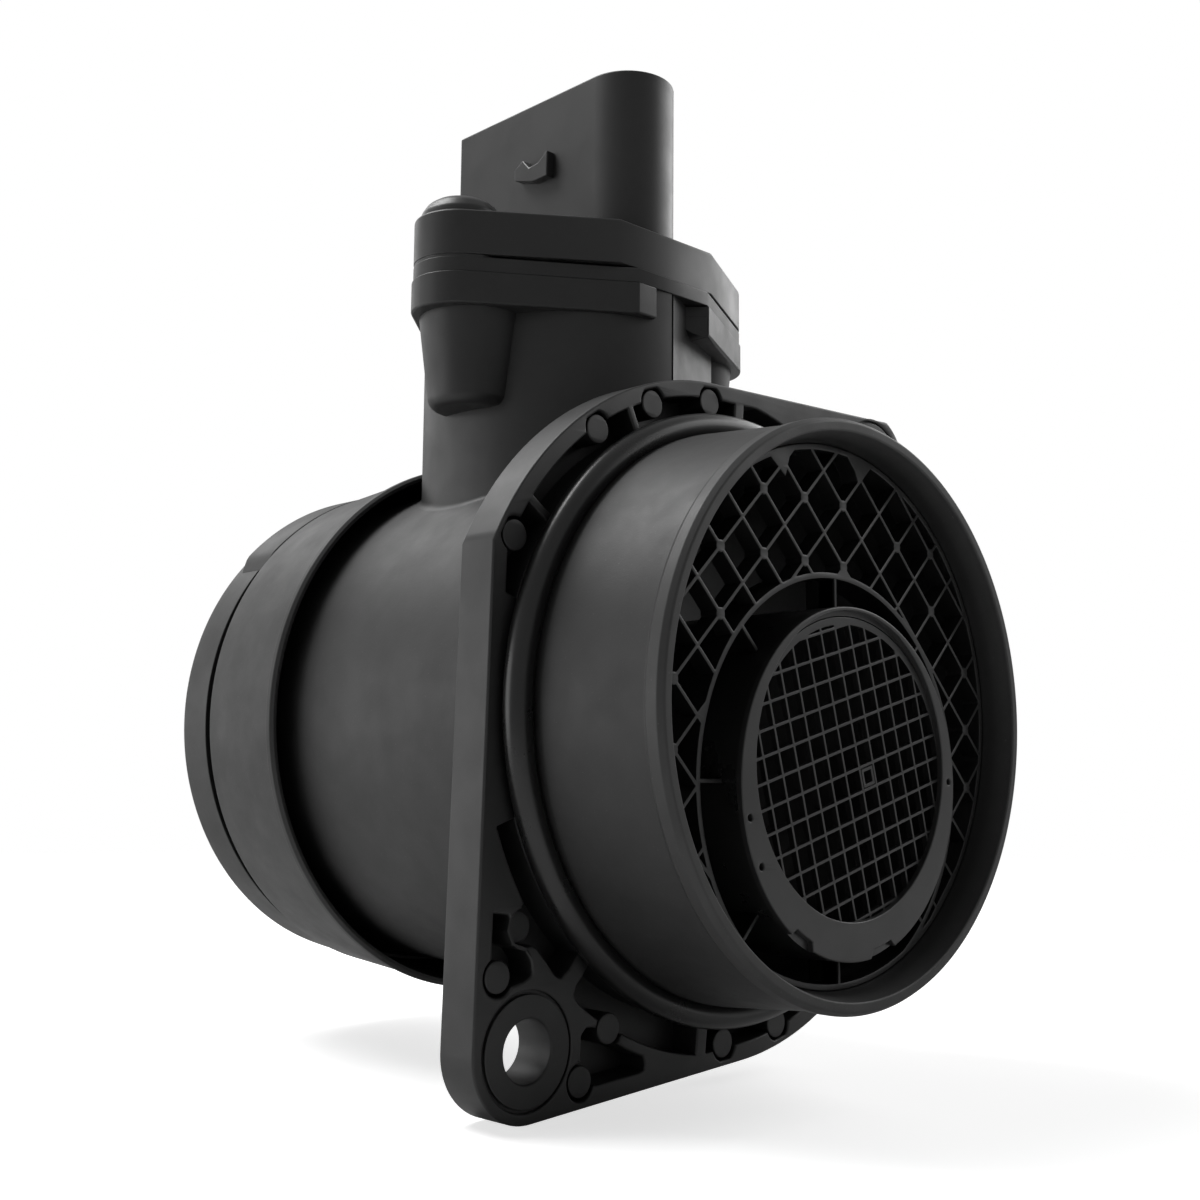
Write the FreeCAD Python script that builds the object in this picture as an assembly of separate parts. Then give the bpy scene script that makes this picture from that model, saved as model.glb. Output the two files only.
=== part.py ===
"""Plug-in mass airflow sensor in a round duct with a two-hole flange.

Frame: +Y runs along the duct with the air, +Z points to the connector.
Origin: on the duct axis, in the front face of the mounting flange.
All lengths are in millimetres and all angles in degrees.
"""
import FreeCAD
import Part
import math
import os

Vector = FreeCAD.Vector
AXIS_X = Vector(1, 0, 0)
AXIS_Y = Vector(0, 1, 0)
AXIS_Z = Vector(0, 0, 1)

# Clearances
FIT = 0.1            # pressed-in plastic pieces, per side
SLIDE = 0.25         # plug-in stem in its opening, per side
THREAD_FIT = 0.05    # screw flanks in plastic, per side
SEAL_NIP = 0.12      # rubber ring to the faces beside it

# Duct: bore, inlet spigot and body, with each wall counted from the bore
bore_radius = 39.0
mouth_widening = 1.6
spigot_length = 26.3
spigot_wall = 3.3
spigot_root_wall = 4.7
mouth_lip = 0.3          # how far the lip stands out of the spigot
mouth_lip_width = 2.0
mouth_edge = 0.7         # chamfer of the lip's front edge
body_wall = 3.8

# Outlet stub with its open skirt, counted from the bore too
outlet_end = 90.7
skirt_start = 55.7
skirt_reach = 8.0
skirt_wall = 1.6
skirt_depth = 17.0
skirt_bead = 0.45
skirt_bead_width = 1.6
stub_wall = 5.9          # at the groove, where the tapered skin ends
groove_start = 80.4
groove_depth = 1.8
groove_width = 1.8
end_band_wall = 4.8
end_edge = 1.0
end_lead = 0.6           # step down behind the raised arc, for the hose
outlet_widening = 1.6
outlet_flare = 3.4
key_height = 1.2         # raised arc on top of the end band
key_length = 5.4
key_half_angle = 52.0

# Mounting flange
flange_thickness = 7.0
flange_reach = 10.0      # how far the round edge stands out of the body
bolt_x = 40.3
bolt_z = 46.2
bolt_hole_radius = 4.25
bolt_corner_radius = 9.6
bolt_face_radius = 7.5
bolt_face_groove = 0.4
flat_side_inset = 4.9    # from the round edge's side to where the straight side starts
rim_wall = 2.7
pocket_depth = 5.0
pocket_gap = 3.1         # from the body to the pockets
bolt_pillar_radius = 10.2
web_width = 1.3
wide_web_width = 2.3
narrow_web_angles = (145.0, 115.5, -34.0, -62.0)
wide_web_angles = (86.0, -96.5)
pad_radius = 2.0
pad_relief = 0.45
pad_drop = 0.3
pad_inset = 3.2          # from the round edge to the pads' middle
pad_angles = (152.0, 124.5, 109.5, 94.0, -90.5, -75.5, -56.0, -30.0)
# bolt corner webs, for the lower bolt; the upper one is turned half round
star_x = -36.5
star_z = -37.9
star_reach = ((-42.6, -29.5), (-27.8, -34.7), (-23.9, -46.0))
corner_pads = ((-45.4, -36.1), (-41.7, -29.9), (-25.0, -44.8), (-30.5, -51.3))

# Neck and the platform that carries the plug-in sensor
neck_y = 37.0
neck_radius = 25.5
neck_wall = 2.5
neck_core_depth = 25.0
facet_angle = 45.0       # flat on the neck, from its front line round to here
platform_top = 73.5
platform_depth = 7.7
platform_step = 5.2      # lower band, which stands out a little
platform_step_out = 0.4
platform_front_y = 11.3
platform_front_half = 8.4
front_gap_left = -4.4
front_gap_inner = 5.0     # where the slanted end of the right rail meets the neck

# Sensor cover plate
plate_thickness = 7.7
plate_front_y = 12.5
plate_back_y = 60.3
plate_front_half = 10.8
plate_back_half = 10.8
plate_edge = 0.5
plate_relief = 0.4       # gap under the cover plate, away from the ears
screw_left = (-27.7, 33.7)
screw_right = (25.3, 28.7)
ear_radius = 7.7
ear_contact = 9.8

# Screws and their bosses
boss_top_radius = 8.3
boss_tip_radius = 6.4
boss_depth = 15.8
boss_shift = 1.5          # how far a boss is set from its screw towards the neck
boss_round = 1.8
screw_radius = 2.2
screw_length = 19.0
screw_tip_gap = 1.5
screw_hole_radius = 2.7
screw_head_radius = 5.2
screw_head_height = 3.7
screw_head_round = 1.1
screw_collar_radius = 6.7
screw_collar_height = 1.3
screw_socket = 4.6
screw_socket_depth = 1.8

# Connector
shroud_width = 16.2
shroud_front_y = 14.5
shroud_back_y = 59.2
shroud_top = 110.1
shroud_wall = 1.9
shroud_corner = 0.8
socket_depth = 24.0
latch_y = 37.0
latch_z = 97.1
latch_width = 8.6
latch_height = 4.6
latch_out = 1.7
terminal_pitch = 5.6
terminal_width = 2.4
terminal_thick = 0.8
terminal_rise = 15.0     # blade length in the socket
terminal_foot = 5.5

# Plug-in stem, its seal and the probe
stem_width = 15.4
stem_front_y = 16.6
stem_back_y = 55.0
stem_end = 45.4
seal_section = 1.25
seal_height = 69.0
probe_width = 12.5
probe_front_y = 17.2
probe_back_y = 51.6
probe_end = -18.2

# Electronics in the probe
bay_front_y = 23.8
bay_back_y = 49.4
bay_floor_x = 1.7
bay_bottom = 9.0
bay_top = 43.0
carrier_thick = 1.0
board_thick = 0.8
cover_thick = 1.2
chip_size = 5.6
chip_thick = 1.0
tongue_front_y = 33.0
tongue_back_y = 38.6
channel_low = -14.8
channel_high = -5.8
channel_seat = 1.6       # how far the lid reaches past the channel
tongue_end = -13.0
element_width = 3.4
element_height = 4.5
element_thick = 0.5
window_front_y = 20.4
window_back_y = 25.0
window_low = -1.2
window_high = 7.0
bead_radius = 1.2
lead_radius = 0.35

# Inlet grid
grid_front = -21.3
grid_depth = 5.4
grid_seat = 0.5          # how far the grid's ring is let into the wall
grid_ring_wall = 0.9
grid_bar_width = 0.6
grid_bar_depth = 3.0
grid_pitch = 9.25        # corner to corner of one diamond
grid_node_x = 2.1
grid_node_z = 3.1
hub_gap = 5.3            # from the tube to the hub ring's outside
hub_wall = 0.9
hub_rib_count = 8
hub_rib_width = 0.6
grid_pad_radius = 0.9
gusset_angles = (109.0, 80.0)
gusset_half_angle = 4.0
gusset_reach = 3.0

# Measuring tube and its fine screen
tube_front = -24.6
tube_radius = 25.3
tube_gap = 3.6           # between the tube and the bore below it
tube_wall = 1.3
tube_length = 80.0
face_thick = 0.9
aperture_rim = 3.2       # mean width of the ring round the aperture
aperture_x = -0.6
aperture_rise = 2.3
face_notches = ((-126.0, -114.0), (-82.0, -69.0))
notch_depth = 1.2
face_holes = (-168.5, -152.0, 0.5)
face_hole_radius = 0.5
probe_slot_clear = 0.7
strut_angles = (-45.0, -135.0)
strut_width = 1.8
strut_length = 10.0
screen_thick = 0.9
screen_bar = 0.42
screen_pitch = 3.45
screen_turn = 15.4
screen_shift_across = -0.92
screen_shift_up = 1.43
screen_rim = 1.2
gate_size = 2.6

# Spigot seal ring, in its seat at the spigot's root
seal_ring_section = 2.1
seal_ring_rise = 1.3     # the section's middle over the spigot's root

# Worked out from the sizes above
mouth_bore_radius = bore_radius + mouth_widening
spigot_radius = bore_radius + spigot_wall
spigot_root_radius = bore_radius + spigot_root_wall
body_radius = bore_radius + body_wall
skirt_radius = bore_radius + skirt_reach
stub_radius = bore_radius + stub_wall
end_band_radius = bore_radius + end_band_wall
outlet_bore_radius = bore_radius + outlet_widening
flange_radius = body_radius + flange_reach
flat_side_x = flange_radius - flat_side_inset
pocket_inner_radius = body_radius + pocket_gap
seal_ring_radius = spigot_root_radius + seal_ring_rise
grid_ring_radius = bore_radius + grid_seat
hub_z = tube_radius + tube_gap - bore_radius
hub_radius = tube_radius + hub_gap
aperture_radius = tube_radius - aperture_rim
aperture_z = hub_z + aperture_rise
face_hole_circle = tube_radius - tube_wall


def cylinder_y(radius, start, end, x=0.0, z=0.0):
    """Round bar along the duct."""
    return Part.makeCylinder(radius, end - start, Vector(x, start, z), AXIS_Y)


def cylinder_z(radius, low, high, x, y):
    """Upright round bar."""
    return Part.makeCylinder(radius, high - low, Vector(x, y, low), AXIS_Z)


def block(x0, x1, y0, y1, z0, z1):
    """Box between two corners."""
    return Part.makeBox(x1 - x0, y1 - y0, z1 - z0, Vector(x0, y0, z0))


def polygon_face(points):
    """Flat face inside a closed line."""
    return Part.Face(Part.makePolygon(points + [points[0]]))


def turned(profile):
    """Solid of revolution about the duct axis, from (radius, y) points."""
    face = polygon_face([Vector(radius, y, 0) for radius, y in profile])
    return face.revolve(Vector(0, 0, 0), AXIS_Y, 360)


def polar(radius, angle, y=0.0, x=0.0, z=0.0):
    """Point at an angle about the duct axis or a centre beside it."""
    turn = math.radians(angle)
    return Vector(x + radius * math.cos(turn), y, z + radius * math.sin(turn))


def bar_between(start, end, width, depth):
    """Web across the flange from one (x, z) point to another, from y = 0 on."""
    run = math.hypot(end[0] - start[0], end[1] - start[1])
    web = Part.makeBox(run, depth, width, Vector(0, 0, -width / 2))
    angle = math.degrees(math.atan2(end[1] - start[1], end[0] - start[0]))
    web.rotate(Vector(0, 0, 0), AXIS_Y, -angle)
    web.translate(Vector(start[0], 0, start[1]))
    return web


def radial_bar(angle, inner, outer, width, y0, y1, z=0.0):
    """Straight rib pointing away from a centre on x = 0."""
    rib = block(inner, outer, y0, y1, -width / 2, width / 2)
    rib.rotate(Vector(0, 0, 0), AXIS_Y, -angle)
    rib.translate(Vector(0, 0, z))
    return rib


def tangent_point(point, centre, radius, side):
    """Where a line from a point touches a circle, on its left (+1) or right (-1)."""
    dx = centre[0] - point[0]
    dy = centre[1] - point[1]
    distance = math.hypot(dx, dy)
    heading = math.atan2(dy, dx) + side * math.asin(radius / distance)
    reach = math.sqrt(distance ** 2 - radius ** 2)
    return (point[0] + reach * math.cos(heading), point[1] + reach * math.sin(heading))


def half_turned(x, z):
    """The same place on the opposite side of the duct axis."""
    return (-x, -z)


def flange_outline():
    """Round flange with straight sides that run out to two opposite bolt corners."""
    bolt = (bolt_x, bolt_z)
    reach = math.hypot(bolt_x, bolt_z)
    bolt_angle = math.atan2(bolt_z, bolt_x)
    top_normal = bolt_angle + math.acos((flange_radius - bolt_corner_radius) / reach)
    leave = (flange_radius * math.cos(top_normal), flange_radius * math.sin(top_normal))
    meet = (bolt[0] + bolt_corner_radius * math.cos(top_normal),
            bolt[1] + bolt_corner_radius * math.sin(top_normal))
    side_z = math.sqrt(flange_radius ** 2 - flat_side_x ** 2)
    low = (flat_side_x, -side_z)
    side = tangent_point(low, bolt, bolt_corner_radius, -1)
    corner_mid_angle = (top_normal + math.atan2(side[1] - bolt[1], side[0] - bolt[0])) / 2
    corner = (bolt[0] + bolt_corner_radius * math.cos(corner_mid_angle),
              bolt[1] + bolt_corner_radius * math.sin(corner_mid_angle))
    start_angle = math.atan2(side_z, -flat_side_x)
    arc_angle = (start_angle + top_normal) / 2
    arc_mid = (flange_radius * math.cos(arc_angle), flange_radius * math.sin(arc_angle))
    begin = (-flat_side_x, side_z)
    half = [begin, arc_mid, leave, meet, corner, side, low]
    edges = []
    for place in (lambda p: Vector(p[0], 0, p[1]), lambda p: Vector(-p[0], 0, -p[1])):
        a, b, c, d, e, f, g = [place(point) for point in half]
        edges.append(Part.Arc(a, b, c).toShape())
        edges.append(Part.makeLine(c, d))
        edges.append(Part.Arc(d, e, f).toShape())
        edges.append(Part.makeLine(f, g))
    return Part.Wire(edges)


def flange_webs():
    """Everything that stays standing between the pockets of the flange."""
    keep = [cylinder_y(pocket_inner_radius, 0, flange_thickness)]
    for angles, width in ((narrow_web_angles, web_width), (wide_web_angles, wide_web_width)):
        for angle in angles:
            keep.append(radial_bar(angle, pocket_inner_radius - 1, flange_radius - 1, width,
                                   0, flange_thickness))
    for place in (lambda x, z: (x, z), half_turned):
        star = place(star_x, star_z)
        bolt = place(-bolt_x, -bolt_z)
        keep.append(cylinder_y(bolt_pillar_radius, 0, flange_thickness, *bolt))
        for reach in star_reach:
            keep.append(bar_between(star, place(*reach), wide_web_width, flange_thickness))
    return keep


def flange_pads():
    """Round ejector pads: their places as (x, z)."""
    places = []
    for angle in pad_angles:
        spot = polar(flange_radius - pad_inset, angle)
        places.append((spot.x, spot.z))
    for place in (lambda x, z: (x, z), half_turned):
        places.extend(place(x, z) for x, z in corner_pads)
    return places


def flange():
    """Mounting flange: rim, cored pockets, webs, pads and two bolt bosses."""
    outline = flange_outline()
    plate = Part.Face(outline).extrude(Vector(0, flange_thickness, 0))
    inside = Part.Face(outline).makeOffset2D(-rim_wall)
    pockets = inside.extrude(Vector(0, pocket_depth, 0))
    pockets = pockets.cut(flange_webs())
    reliefs = [cylinder_y(pad_radius + pad_relief, 0, pocket_depth, x, z)
               for x, z in flange_pads()]
    edge_guard = Part.Face(outline).makeOffset2D(-rim_wall / 3)
    reliefs = Part.makeCompound(reliefs).common(edge_guard.extrude(Vector(0, pocket_depth, 0)))
    reliefs = reliefs.cut(cylinder_y(pocket_inner_radius, 0, flange_thickness))
    plate = plate.cut([pockets, reliefs])
    pads = [cylinder_y(pad_radius, pad_drop, flange_thickness, x, z) for x, z in flange_pads()]
    grooves = [cylinder_y(bolt_face_radius + bolt_face_groove, 0, bolt_face_groove, x, z).cut(
        cylinder_y(bolt_face_radius, 0, bolt_face_groove, x, z))
        for x, z in ((bolt_x, bolt_z), (-bolt_x, -bolt_z))]
    opening = cylinder_y((bore_radius + body_radius) / 2, -1, flange_thickness + 1)
    return plate.fuse(pads).cut(grooves + [opening])


def skirt_inner(y):
    """Inner radius of the skirt at a place along the duct."""
    slope = (skirt_radius - skirt_bead - stub_radius) / (groove_start - skirt_start)
    return skirt_radius - skirt_bead - skirt_wall + skirt_bead - slope * (y - skirt_start)


def duct():
    """Spigot, body and outlet stub in one turned wall, with the skirt's open recess."""
    lip_radius = spigot_radius + mouth_lip
    recess_floor = skirt_start + skirt_depth
    bead_end = skirt_start + skirt_bead_width
    groove_end = groove_start + groove_width
    key_end = groove_end + key_length
    lead_radius = end_band_radius - end_lead
    seat_length = 2 * (seal_ring_section + SEAL_NIP)
    seat_radius = seal_ring_radius - seal_ring_section - SEAL_NIP
    profile = [
        (mouth_bore_radius, -spigot_length),
        (lip_radius - mouth_edge, -spigot_length),
        (lip_radius, -spigot_length + mouth_edge),
        (lip_radius, -spigot_length + mouth_edge + mouth_lip_width),
        (spigot_radius, -spigot_length + mouth_edge + mouth_lip_width + mouth_lip),
        (spigot_root_radius, -seat_length),
        (seat_radius, -seat_length),
        (seat_radius, 0),
        (body_radius, flange_thickness),
        (body_radius, recess_floor),
        (skirt_inner(recess_floor), recess_floor),
        (skirt_inner(skirt_start), skirt_start),
        (skirt_radius - skirt_bead, skirt_start),
        (skirt_radius, skirt_start + skirt_bead),
        (skirt_radius, bead_end),
        (skirt_radius - skirt_bead, bead_end + skirt_bead),
        (stub_radius, groove_start),
        (stub_radius - groove_depth, groove_start + groove_width / 6),
        (stub_radius - groove_depth, groove_end),
        (end_band_radius, groove_end),
        (end_band_radius, key_end),
        (lead_radius, key_end + end_lead),
        (lead_radius, outlet_end - end_edge),
        (lead_radius - end_edge, outlet_end),
        (outlet_bore_radius, outlet_end),
        (bore_radius, outlet_end - outlet_flare),
        (bore_radius, grid_front + grid_depth),
        (grid_ring_radius + FIT, grid_front + grid_depth),
        (grid_ring_radius + FIT, grid_front),
    ]
    return turned(profile)


def outlet_key():
    """Raised arc on top of the end band that turns the hose the right way."""
    start = groove_start + groove_width
    ring = cylinder_y(end_band_radius + key_height, start, start + key_length)
    ring = ring.cut(cylinder_y(end_band_radius - 1, start, start + key_length))
    far = 2 * skirt_radius
    left = polar(far, 90 + key_half_angle, start)
    right = polar(far, 90 - key_half_angle, start)
    top_left = Vector(left.x, start, far)
    top_right = Vector(right.x, start, far)
    wedge = polygon_face([Vector(0, start, 0), left, top_left, top_right, right])
    return ring.common(wedge.extrude(Vector(0, key_length, 0)))


def head_outline(front_half, front_y, grow):
    """Plan of the cover plate and platform: two ears beside a narrow front and back."""
    corners = [(-front_half, front_y), (front_half, front_y),
               (plate_back_half, plate_back_y), (-plate_back_half, plate_back_y)]
    left_low = tangent_point(corners[0], screw_left, ear_radius, 1)
    left_high = tangent_point(corners[3], screw_left, ear_radius, -1)
    right_low = tangent_point(corners[1], screw_right, ear_radius, -1)
    right_high = tangent_point(corners[2], screw_right, ear_radius, 1)
    far_left = (screw_left[0] - ear_radius, screw_left[1])
    far_right = (screw_right[0] + ear_radius, screw_right[1])

    def at(point):
        return Vector(point[0], point[1], 0)

    edges = [
        Part.makeLine(at(corners[0]), at(corners[1])),
        Part.makeLine(at(corners[1]), at(right_low)),
        Part.Arc(at(right_low), at(far_right), at(right_high)).toShape(),
        Part.makeLine(at(right_high), at(corners[2])),
        Part.makeLine(at(corners[2]), at(corners[3])),
        Part.makeLine(at(corners[3]), at(left_high)),
        Part.Arc(at(left_high), at(far_left), at(left_low)).toShape(),
        Part.makeLine(at(left_low), at(corners[0])),
    ]
    face = Part.Face(Part.Wire(edges))
    return face.makeOffset2D(grow) if grow else face


def head_slab(low, high, front_half, front_y, grow=0.0):
    """Slab with the head's plan between two heights."""
    face = head_outline(front_half, front_y, grow)
    face.translate(Vector(0, 0, low))
    return face.extrude(Vector(0, 0, high - low))


def stadium(width, front, back, low, high):
    """Upright bar with round ends, long side along the duct, on x = 0."""
    radius = width / 2
    middle = block(-radius, radius, front + radius, back - radius, low, high)
    ends = [cylinder_z(radius, low, high, 0, front + radius),
            cylinder_z(radius, low, high, 0, back - radius)]
    return middle.fuse(ends).removeSplitter()


def boss_spot(spot):
    """Middle of the boss under one screw, set a little towards the neck."""
    reach = math.hypot(spot[0], spot[1] - neck_y)
    share = boss_shift / reach
    return spot[0] * (1 - share), spot[1] + (neck_y - spot[1]) * share


def screw_boss(spot):
    """Tapered boss with a rounded tip under one ear."""
    top = platform_top - platform_depth
    boss = Part.makeCone(boss_tip_radius, boss_top_radius, boss_depth,
                         Vector(*boss_spot(spot), top - boss_depth), AXIS_Z)
    tip = min(boss.Edges, key=lambda edge: edge.BoundBox.ZMax)
    return boss.makeFillet(boss_round, [tip])


def neck():
    """Round neck from the duct up to the platform, with a flat on its front."""
    low = body_radius * 0.6
    column = cylinder_z(neck_radius, low, platform_top - 2 * plate_relief, 0, neck_y)
    centre = Vector(0, neck_y, low)
    begin = centre + Vector(0, -neck_radius, 0)
    turn = math.radians(facet_angle)
    end = centre + Vector(neck_radius * math.sin(turn), -neck_radius * math.cos(turn), 0)
    outward = (begin + end) * 0.5 - centre
    outward.normalize()
    flat = polygon_face([begin, end, end + outward * neck_radius, begin + outward * neck_radius])
    return column.cut(flat.extrude(Vector(0, 0, platform_top)))


def platform():
    """Table under the cover plate: two straight rails with a gap between them in front."""
    low = platform_top - platform_depth
    step = low + platform_step
    upper = head_slab(step, platform_top, platform_front_half, platform_front_y)
    lower = head_slab(low, step, platform_front_half, platform_front_y, platform_step_out)
    slant = platform_front_half - front_gap_inner
    far = neck_y - stem_front_y
    plan = [(front_gap_left, 0), (platform_front_half, 0),
            (platform_front_half, platform_front_y),
            (front_gap_inner, platform_front_y + slant), (front_gap_inner, far),
            (front_gap_left, far)]
    gap = polygon_face([Vector(x, y, low) for x, y in plan])
    return upper.fuse(lower).cut([gap.extrude(Vector(0, 0, platform_step)), seat_relief()])


def seat_relief():
    """Thin gap between platform and cover plate, away from the ears and the stem."""
    low = platform_top - plate_relief
    relief = head_slab(low, platform_top, platform_front_half, platform_front_y, 1.0)
    inside = stadium(stem_width + 8, stem_front_y - 2, stem_back_y + 2, low, platform_top)
    ears = [cylinder_z(ear_contact, low, platform_top, *spot)
            for spot in (screw_left, screw_right)]
    return relief.cut([inside] + ears)


def neck_cores():
    """Crescent pockets beside the stem opening, open under the cover plate."""
    low = platform_top - neck_core_depth
    inner = cylinder_z(neck_radius - neck_wall, low, platform_top, 0, neck_y)
    wall = 2 * (SLIDE + neck_wall)
    spine = stadium(stem_width + wall, stem_front_y - wall / 2, stem_back_y + wall / 2,
                    low, platform_top)
    bosses = [cylinder_z(boss_top_radius, low, platform_top, *boss_spot(spot))
              for spot in (screw_left, screw_right)]
    bridge = block(-neck_radius, neck_radius, neck_y - neck_wall / 2, neck_y + neck_wall / 2,
                   low, platform_top)
    front_guard = block(-neck_radius, neck_radius, 0, stem_front_y + neck_wall, low, platform_top)
    return inner.cut([spine, bridge, front_guard] + bosses)


def housing():
    """One-piece moulded duct with flange, neck, platform and bosses."""
    shell = duct().fuse([flange(), outlet_key()])
    head = neck().fuse([platform()] + [screw_boss(spot) for spot in (screw_left, screw_right)])
    head = head.cut(cylinder_y(body_radius - 1, -spigot_length, outlet_end))
    shell = shell.fuse(head)
    stem_hole = stadium(stem_width + 2 * SLIDE, stem_front_y - SLIDE, stem_back_y + SLIDE,
                        0, platform_top)
    pilot_end = platform_top + plate_thickness - screw_length - screw_tip_gap
    pilots = [cylinder_z(screw_radius + THREAD_FIT, pilot_end, platform_top, *spot)
              for spot in (screw_left, screw_right)]
    bolts = [cylinder_y(bolt_hole_radius, -1, flange_thickness, x, z)
             for x, z in ((bolt_x, bolt_z), (-bolt_x, -bolt_z))]
    return shell.cut([stem_hole, neck_cores()] + pilots + bolts).removeSplitter()


def inlet_grid():
    """Diamond grid with an off-centre hub ring and ribs for the measuring tube."""
    back = grid_front + grid_depth
    ring = cylinder_y(grid_ring_radius, grid_front, back)
    ring = ring.cut(cylinder_y(grid_ring_radius - grid_ring_wall, grid_front, back))
    hub = cylinder_y(hub_radius, grid_front, back, 0, hub_z)
    hub = hub.cut(cylinder_y(hub_radius - hub_wall, grid_front, back, 0, hub_z))
    disc = cylinder_y(grid_ring_radius, grid_front, back)
    open_area = disc.cut(cylinder_y(hub_radius - hub_wall / 2, grid_front, back, 0, hub_z))
    step = grid_pitch / math.sqrt(2)
    count = int(2 * grid_ring_radius / step)
    bars = []
    for turn in (45.0, -45.0):
        for index in range(-count, count + 1):
            bar = block(-2 * grid_ring_radius, 2 * grid_ring_radius, grid_front,
                        grid_front + grid_bar_depth, -grid_bar_width / 2, grid_bar_width / 2)
            bar.translate(Vector(0, 0, index * step))
            bar.rotate(Vector(0, 0, 0), AXIS_Y, turn)
            bar.translate(Vector(grid_node_x, 0, grid_node_z))
            if bar.common(open_area).Volume > grid_bar_width:
                bars.append(bar)
    pads = []
    for row in range(-count, count + 1):
        for column in range(-count, count + 1):
            shift = 0.0 if column < 1 else 0.5
            x = grid_node_x + grid_pitch * (column + shift)
            z = grid_node_z + grid_pitch * (row + shift)
            in_ring = math.hypot(x, z) < grid_ring_radius - 2 * grid_ring_wall
            off_hub = math.hypot(x, z - hub_z) > hub_radius + grid_pad_radius
            if in_ring and off_hub:
                pads.append(cylinder_y(grid_pad_radius, grid_front, grid_front + grid_bar_depth,
                                       x, z))
    gussets = []
    for angle in gusset_angles:
        inner = grid_ring_radius - grid_ring_wall - gusset_reach
        tip = polar(inner, angle, grid_front)
        sides = [polar(grid_ring_radius - 0.5, angle + side * gusset_half_angle, grid_front)
                 for side in (-1, 1)]
        gussets.append(polygon_face([tip] + sides).extrude(Vector(0, grid_bar_depth, 0)))
    lattice = bars[0].fuse(bars[1:] + pads).common(open_area)
    ribs = [radial_bar(360.0 * index / hub_rib_count, tube_radius + FIT,
                       hub_radius - hub_wall / 2, hub_rib_width, grid_front, back, hub_z)
            for index in range(hub_rib_count)]
    grid = ring.fuse([hub, lattice] + ribs + gussets)
    return grid.common(disc).removeSplitter()


def measuring_tube():
    """Inner tube with a plain front face, an off-centre aperture and a slot for the probe."""
    end = tube_front + tube_length
    tube = cylinder_y(tube_radius, tube_front, end, 0, hub_z)
    cuts = [cylinder_y(tube_radius - tube_wall, tube_front + face_thick, end, 0, hub_z),
            cylinder_y(aperture_radius, tube_front, tube_front + face_thick,
                       aperture_x, aperture_z)]
    for first, last in face_notches:
        points = [polar(radius, angle, tube_front, 0, hub_z)
                  for radius, angle in ((tube_radius - notch_depth, first),
                                        (tube_radius + 1, first), (tube_radius + 1, last),
                                        (tube_radius - notch_depth, last))]
        cuts.append(polygon_face(points).extrude(Vector(0, face_thick * 0.7, 0)))
    for angle in face_holes:
        spot = polar(face_hole_circle, angle, tube_front, 0, hub_z)
        cuts.append(cylinder_y(face_hole_radius, tube_front, tube_front + face_thick,
                               spot.x, spot.z))
    half = probe_width / 2 + probe_slot_clear
    cuts.append(block(-half, half, probe_front_y - probe_slot_clear, end + 1, hub_z,
                      hub_z + tube_radius + 1))
    struts = [radial_bar(angle, tube_radius - tube_wall / 2, bore_radius, strut_width,
                         end - strut_length, end, hub_z) for angle in strut_angles]
    limit = cylinder_y(bore_radius - FIT, tube_front, end)
    struts = [strut.common(limit) for strut in struts]
    return tube.cut(cuts).fuse(struts).removeSplitter()


def tube_screen():
    """Fine square screen in a thin rim, turned a little about the air's direction."""
    front = tube_front + face_thick
    back = front + screen_thick
    outer = tube_radius - tube_wall - FIT
    disc = cylinder_y(outer, front, back, 0, hub_z)
    rim = disc.cut(cylinder_y(outer - screen_rim, front, back, 0, hub_z))
    count = int(outer / screen_pitch)
    bars = []
    for turn, shift in ((0.0, screen_shift_up), (90.0, -screen_shift_across)):
        for index in range(-count, count + 1):
            bar = block(-2 * outer, 2 * outer, front, back, -screen_bar / 2, screen_bar / 2)
            bar.translate(Vector(0, 0, index * screen_pitch + shift))
            bar.rotate(Vector(0, 0, 0), AXIS_Y, turn - screen_turn)
            bar.translate(Vector(0, 0, hub_z))
            bars.append(bar)
    half = gate_size / 2
    gate = block(-half, half, front, back, -half, half)
    gate = gate.cut(block(-half + screen_bar, half - screen_bar, front, back,
                          -half + screen_bar, half - screen_bar))
    gate.translate(Vector(screen_shift_across + 1.5 * screen_pitch, 0,
                          screen_shift_up - 0.5 * screen_pitch))
    gate.rotate(Vector(0, 0, 0), AXIS_Y, -screen_turn)
    gate.translate(Vector(0, 0, hub_z))
    mesh = bars[0].fuse(bars[1:] + [gate]).common(disc)
    return rim.fuse(mesh).removeSplitter()


def spigot_seal():
    """Rubber ring round the spigot's root, against the flange."""
    centre = Vector(0, -seal_ring_section - SEAL_NIP, 0)
    return Part.makeTorus(seal_ring_radius, seal_ring_section, centre, AXIS_Y)


def shroud_outline(shrink, low, high):
    """Connector plan: round towards the inlet, square towards the outlet."""
    radius = shroud_width / 2 - shrink
    front = shroud_front_y + shrink
    back = shroud_back_y - shrink
    body = block(-radius, radius, front + radius, back, low, high)
    corners = [edge for edge in body.Edges
               if edge.BoundBox.ZLength > 1 and edge.BoundBox.YMin > back - 0.1]
    body = body.makeFillet(max(shroud_corner - shrink, 0.3), corners)
    return body.fuse(cylinder_z(radius, low, high, 0, front + radius)).removeSplitter()


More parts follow.
